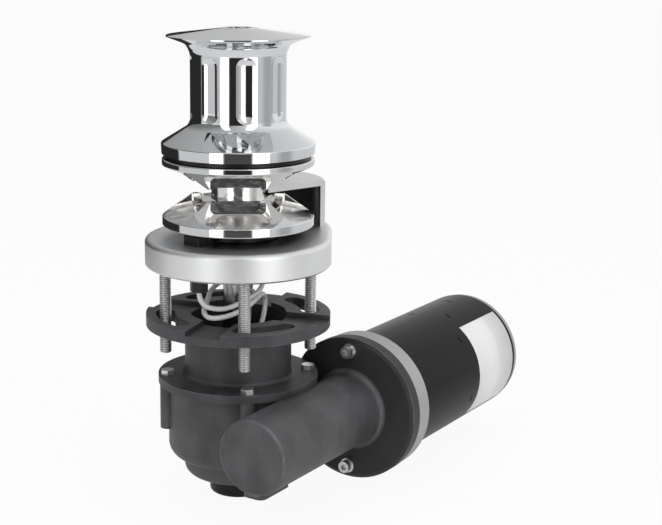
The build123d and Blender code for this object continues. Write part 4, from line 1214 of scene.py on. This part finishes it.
@dataclass
class Motor(Assembly):
    """Motor with its adapter ring, a bare sticker and the painted shade of staking dents on the can."""

    finishes: dict[str, Any] = field(
        default_factory=lambda: {
            "motor_gasket": PAPER,
            "motor_adapter": ADAPTER,
            "motor_can": CAN_BLACK,
            "motor_end_cap": CAN_RIM,
            "field_magnets": FERRITE,
            "armature_core": CORE,
            "armature_windings": COPPER,
            "commutator": COPPER,
            "brush_plate": BLACK,
            "brushes": CARBON,
            "motor_bearing_outer_rings": GROUND_X,
            "motor_bearing_inner_rings": GROUND_X,
            "motor_shaft": GROUND_X,
            "motor_drive_key": GROUND_X,
            "tie_bolts": BOLT,
            "terminal_studs": BRASS,
            "terminal_nuts": BRASS,
            "terminal_washers": BRASS,
        }
    )
    edges: dict[str, float] = field(default_factory=lambda: {"motor_adapter": 0.4, "motor_end_cap": 0.5})
    sticker: CanPatch = field(
        default_factory=lambda: CanPatch(start=199.5, end=268.6, first=125.8, last=222.0)
    )
    marks: Sequence[tuple[float, float]] = (
        (185.7, 79.3),
        (205.9, 108.5),
        (186.4, 137.2),
        (188.3, -162.5),
        (244.6, 87.2),
    )
    mark_sweep: float = 6.5
    mark_width: float = 2.3
    mark_outer: float = 54.44
    mark_steps: int = 8

    def build(self) -> None:
        """Dresses the motor and adds the sticker and the marks' painted shade."""
        self.dress_nodes()
        sticker = skin("bare_sticker", *self.sticker.shape())
        dress(sticker, STICKER.build())
        half_width, half_sweep = self.mark_width / 2, self.mark_sweep / 2
        # Near-black patches stand in for the shade in the can's staking dents.
        marks = []
        for x, angle in self.marks:
            patch = CanPatch(
                start=x - half_width,
                end=x + half_width,
                first=angle - half_sweep,
                last=angle + half_sweep,
                outer=self.mark_outer,
                steps=self.mark_steps,
            )
            marks.append(patch.shape())
        staking = skin("painted_staking_shade", *joined(marks))
        dress(staking, STAKING_SHADE.build())
        for piece, slot in ((sticker, "grey_cable"), (staking, "motor_black")):
            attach(piece, "housing")
            LOG.info("piece %s", piece.name)


class Side(Enum):
    """What a studio panel does."""

    LIGHT = "gives light"
    CARD = "gives a band in polished metal"


@dataclass
class Panel:
    """A tall studio panel between two angles, which are measured from the camera's side."""

    first: float
    last: float
    high: float
    side: Side
    power: float = 0.0
    tone: float = 0.0
    low_tone: float = 0.0
    fade: float = 1.0
    low: float = -0.19
    distance: float = 0.9


@dataclass
class Studio:
    """Camera, floor, ceiling, world, panels and lamp; the two sheets have millimetres."""

    camera_azimuth: float = -145.1
    distance: float = 1200.0 * MM
    height: float = 279.5 * MM
    pitch: float = 13.094
    lens: float = 80.94
    sensor: float = 36.0
    shift: float = 0.1402
    nearest: float = 0.05
    farthest: float = 60.0
    floor_level: float = -198.1
    floor_size: float = 12000.0
    ceiling_level: float = 1900.0
    ceiling_size: float = 12000.0
    background: float = 1.0
    ambient: float = 0.6
    card_steps: int = 24
    lamp_size: float = 1.2
    lamp_power: float = 6.0
    lamp_place: Point = (0.1, -0.1, 1.6)
    panels: Sequence[Panel] = (
        Panel(first=-42, last=-22, high=1.3, side=Side.LIGHT, power=2.2),
        Panel(first=21, last=46, high=1.3, side=Side.LIGHT, power=2.6),
        Panel(first=-22, last=21, high=0.32, side=Side.CARD, tone=0.03, low_tone=0.1, fade=3),
        Panel(first=-180, last=-94, high=0.3, side=Side.CARD, tone=0.03, low_tone=0.03, fade=4),
        Panel(first=52, last=92, high=0.5, side=Side.CARD, tone=0.5, low_tone=0.5, fade=16),
    )

    def direction(self, angle: float) -> Vector:
        """Level direction at an angle from the camera's side, positive to the picture's right."""
        a = math.radians(self.camera_azimuth + angle)
        return Vector((math.cos(a), math.sin(a), 0.0))

    def place_camera(self) -> None:
        """Makes the camera at the photograph's angle."""
        data = bpy.data.cameras.new("camera")
        data.lens = self.lens
        data.sensor_width = self.sensor
        data.shift_x = self.shift
        data.clip_start, data.clip_end = self.nearest, self.farthest
        camera = bpy.data.objects.new("camera", data)
        toward = self.direction(0)
        camera.location = toward * self.distance + Vector((0, 0, self.height))
        p = math.radians(self.pitch)
        look = -toward * math.cos(p) - Vector((0, 0, math.sin(p)))
        camera.rotation_mode = "QUATERNION"
        camera.rotation_quaternion = look.to_track_quat("-Z", "Y")
        bpy.context.scene.collection.objects.link(camera)
        bpy.context.scene.camera = camera

    def lay_sheet(self, name: str, size: float, level: float, finish: Any) -> bpy.types.Object:
        """Lays a level square sheet that isn't part of the object.

        Args:
            name: The sheet's name.
            size: Half its side, in millimetres.
            level: Its height, in millimetres.
            finish: Its finish.

        Returns:
            The sheet.
        """
        corners = [(-size, -size, level), (size, -size, level), (size, size, level), (-size, size, level)]
        sheet = skin(name, corners, [(0, 1, 2, 3)], False)
        dress(sheet, finish.build())
        return sheet

    def fill_world(self) -> None:
        """Makes a white background, which metal and glass show, over a softer ambient level."""
        world = bpy.data.worlds.new("studio")
        bpy.context.scene.world = world
        world.use_nodes = True
        g = Graph(world.node_tree)
        seen = g.ray("Is Camera Ray").largest(g.ray("Is Glossy Ray")).largest(g.ray("Is Transmission Ray"))
        soft = g.node("ShaderNodeBackground", {}, {"Color": WHITE, "Strength": self.ambient})
        white = g.node("ShaderNodeBackground", {}, {"Color": WHITE, "Strength": self.background})
        sky = g.node("ShaderNodeMixShader", {}, {0: seen, 1: soft, 2: white})
        g.node("ShaderNodeOutputWorld", {}, {"Surface": sky})

    def stand_light(self, number: int, panel: Panel) -> None:
        """Stands a softbox at a panel's place.

        Args:
            number: The panel's number.
            panel: The panel.
        """
        middle = (panel.first + panel.last) / 2
        data = bpy.data.lights.new(f"softbox_{number}", "AREA")
        data.shape = "RECTANGLE"
        data.size = 2 * panel.distance * math.tan(math.radians(panel.last - panel.first) / 2)
        data.size_y = panel.high - panel.low
        data.energy = panel.power
        lamp = bpy.data.objects.new(data.name, data)
        toward = self.direction(middle)
        lamp.location = toward * panel.distance + Vector((0, 0, (panel.high + panel.low) / 2))
        lamp.rotation_mode = "QUATERNION"
        lamp.rotation_quaternion = (-toward).to_track_quat("-Z", "Y")
        bpy.context.scene.collection.objects.link(lamp)

    def show_in_reflections(self, piece: bpy.types.Object) -> None:
        """Hides a stage piece from every ray but reflections."""
        for ray in ("camera", "diffuse", "shadow", "transmission", "volume_scatter"):
            setattr(piece, f"visible_{ray}", False)

    def stand_card(self, number: int, panel: Panel) -> None:
        """Stands a curved card that only reflections show.

        Args:
            number: The panel's number.
            panel: The panel.
        """
        points: list[Point] = []
        for i in range(self.card_steps + 1):
            angle = panel.first + (panel.last - panel.first) * i / self.card_steps
            spot = self.direction(angle) * panel.distance
            points += [(spot.x / MM, spot.y / MM, level / MM) for level in (panel.low, panel.high)]
        faces = [(2 * i, 2 * i + 2, 2 * i + 3, 2 * i + 1) for i in range(self.card_steps)]
        card = skin(f"card_{number}", points, faces, False)
        ends = (self.camera_azimuth, panel.first, panel.last)
        cloth = CardCloth(f"card cloth {number}", *ends, panel.tone, panel.low_tone, panel.fade)
        dress(card, cloth.build())
        self.show_in_reflections(card)

    def hang_lamp(self) -> None:
        """Hangs a wide soft lamp overhead, which reflections don't show."""
        data = bpy.data.lights.new("overhead", "AREA")
        data.shape = "DISK"
        data.size = self.lamp_size
        data.energy = self.lamp_power
        lamp = bpy.data.objects.new("overhead", data)
        lamp.location = self.lamp_place
        lamp.visible_glossy = False
        bpy.context.scene.collection.objects.link(lamp)

    def build(self) -> None:
        """Builds the whole studio."""
        self.place_camera()
        self.lay_sheet("floor", self.floor_size, self.floor_level, PaleFloor())
        ceiling = CeilingCloth("ceiling cloth", self.camera_azimuth)
        self.show_in_reflections(self.lay_sheet("ceiling", self.ceiling_size, self.ceiling_level, ceiling))
        self.fill_world()
        for number, panel in enumerate(self.panels, 1):
            stand = self.stand_light if panel.side is Side.LIGHT else self.stand_card
            stand(number, panel)
        self.hang_lamp()
        bpy.context.scene.view_settings.view_transform = "Standard"


def main() -> None:
    """Builds the studio and every sub-assembly, in order."""
    logging.basicConfig(level=logging.INFO, format="%(message)s")
    for group in (Studio(), SensorLead(), AboveDeck(), DeckStuds(), Gearbox(), Motor()):
        group.build()
        LOG.info("built %s", type(group).__name__)


if __name__ == "__main__":
    main()
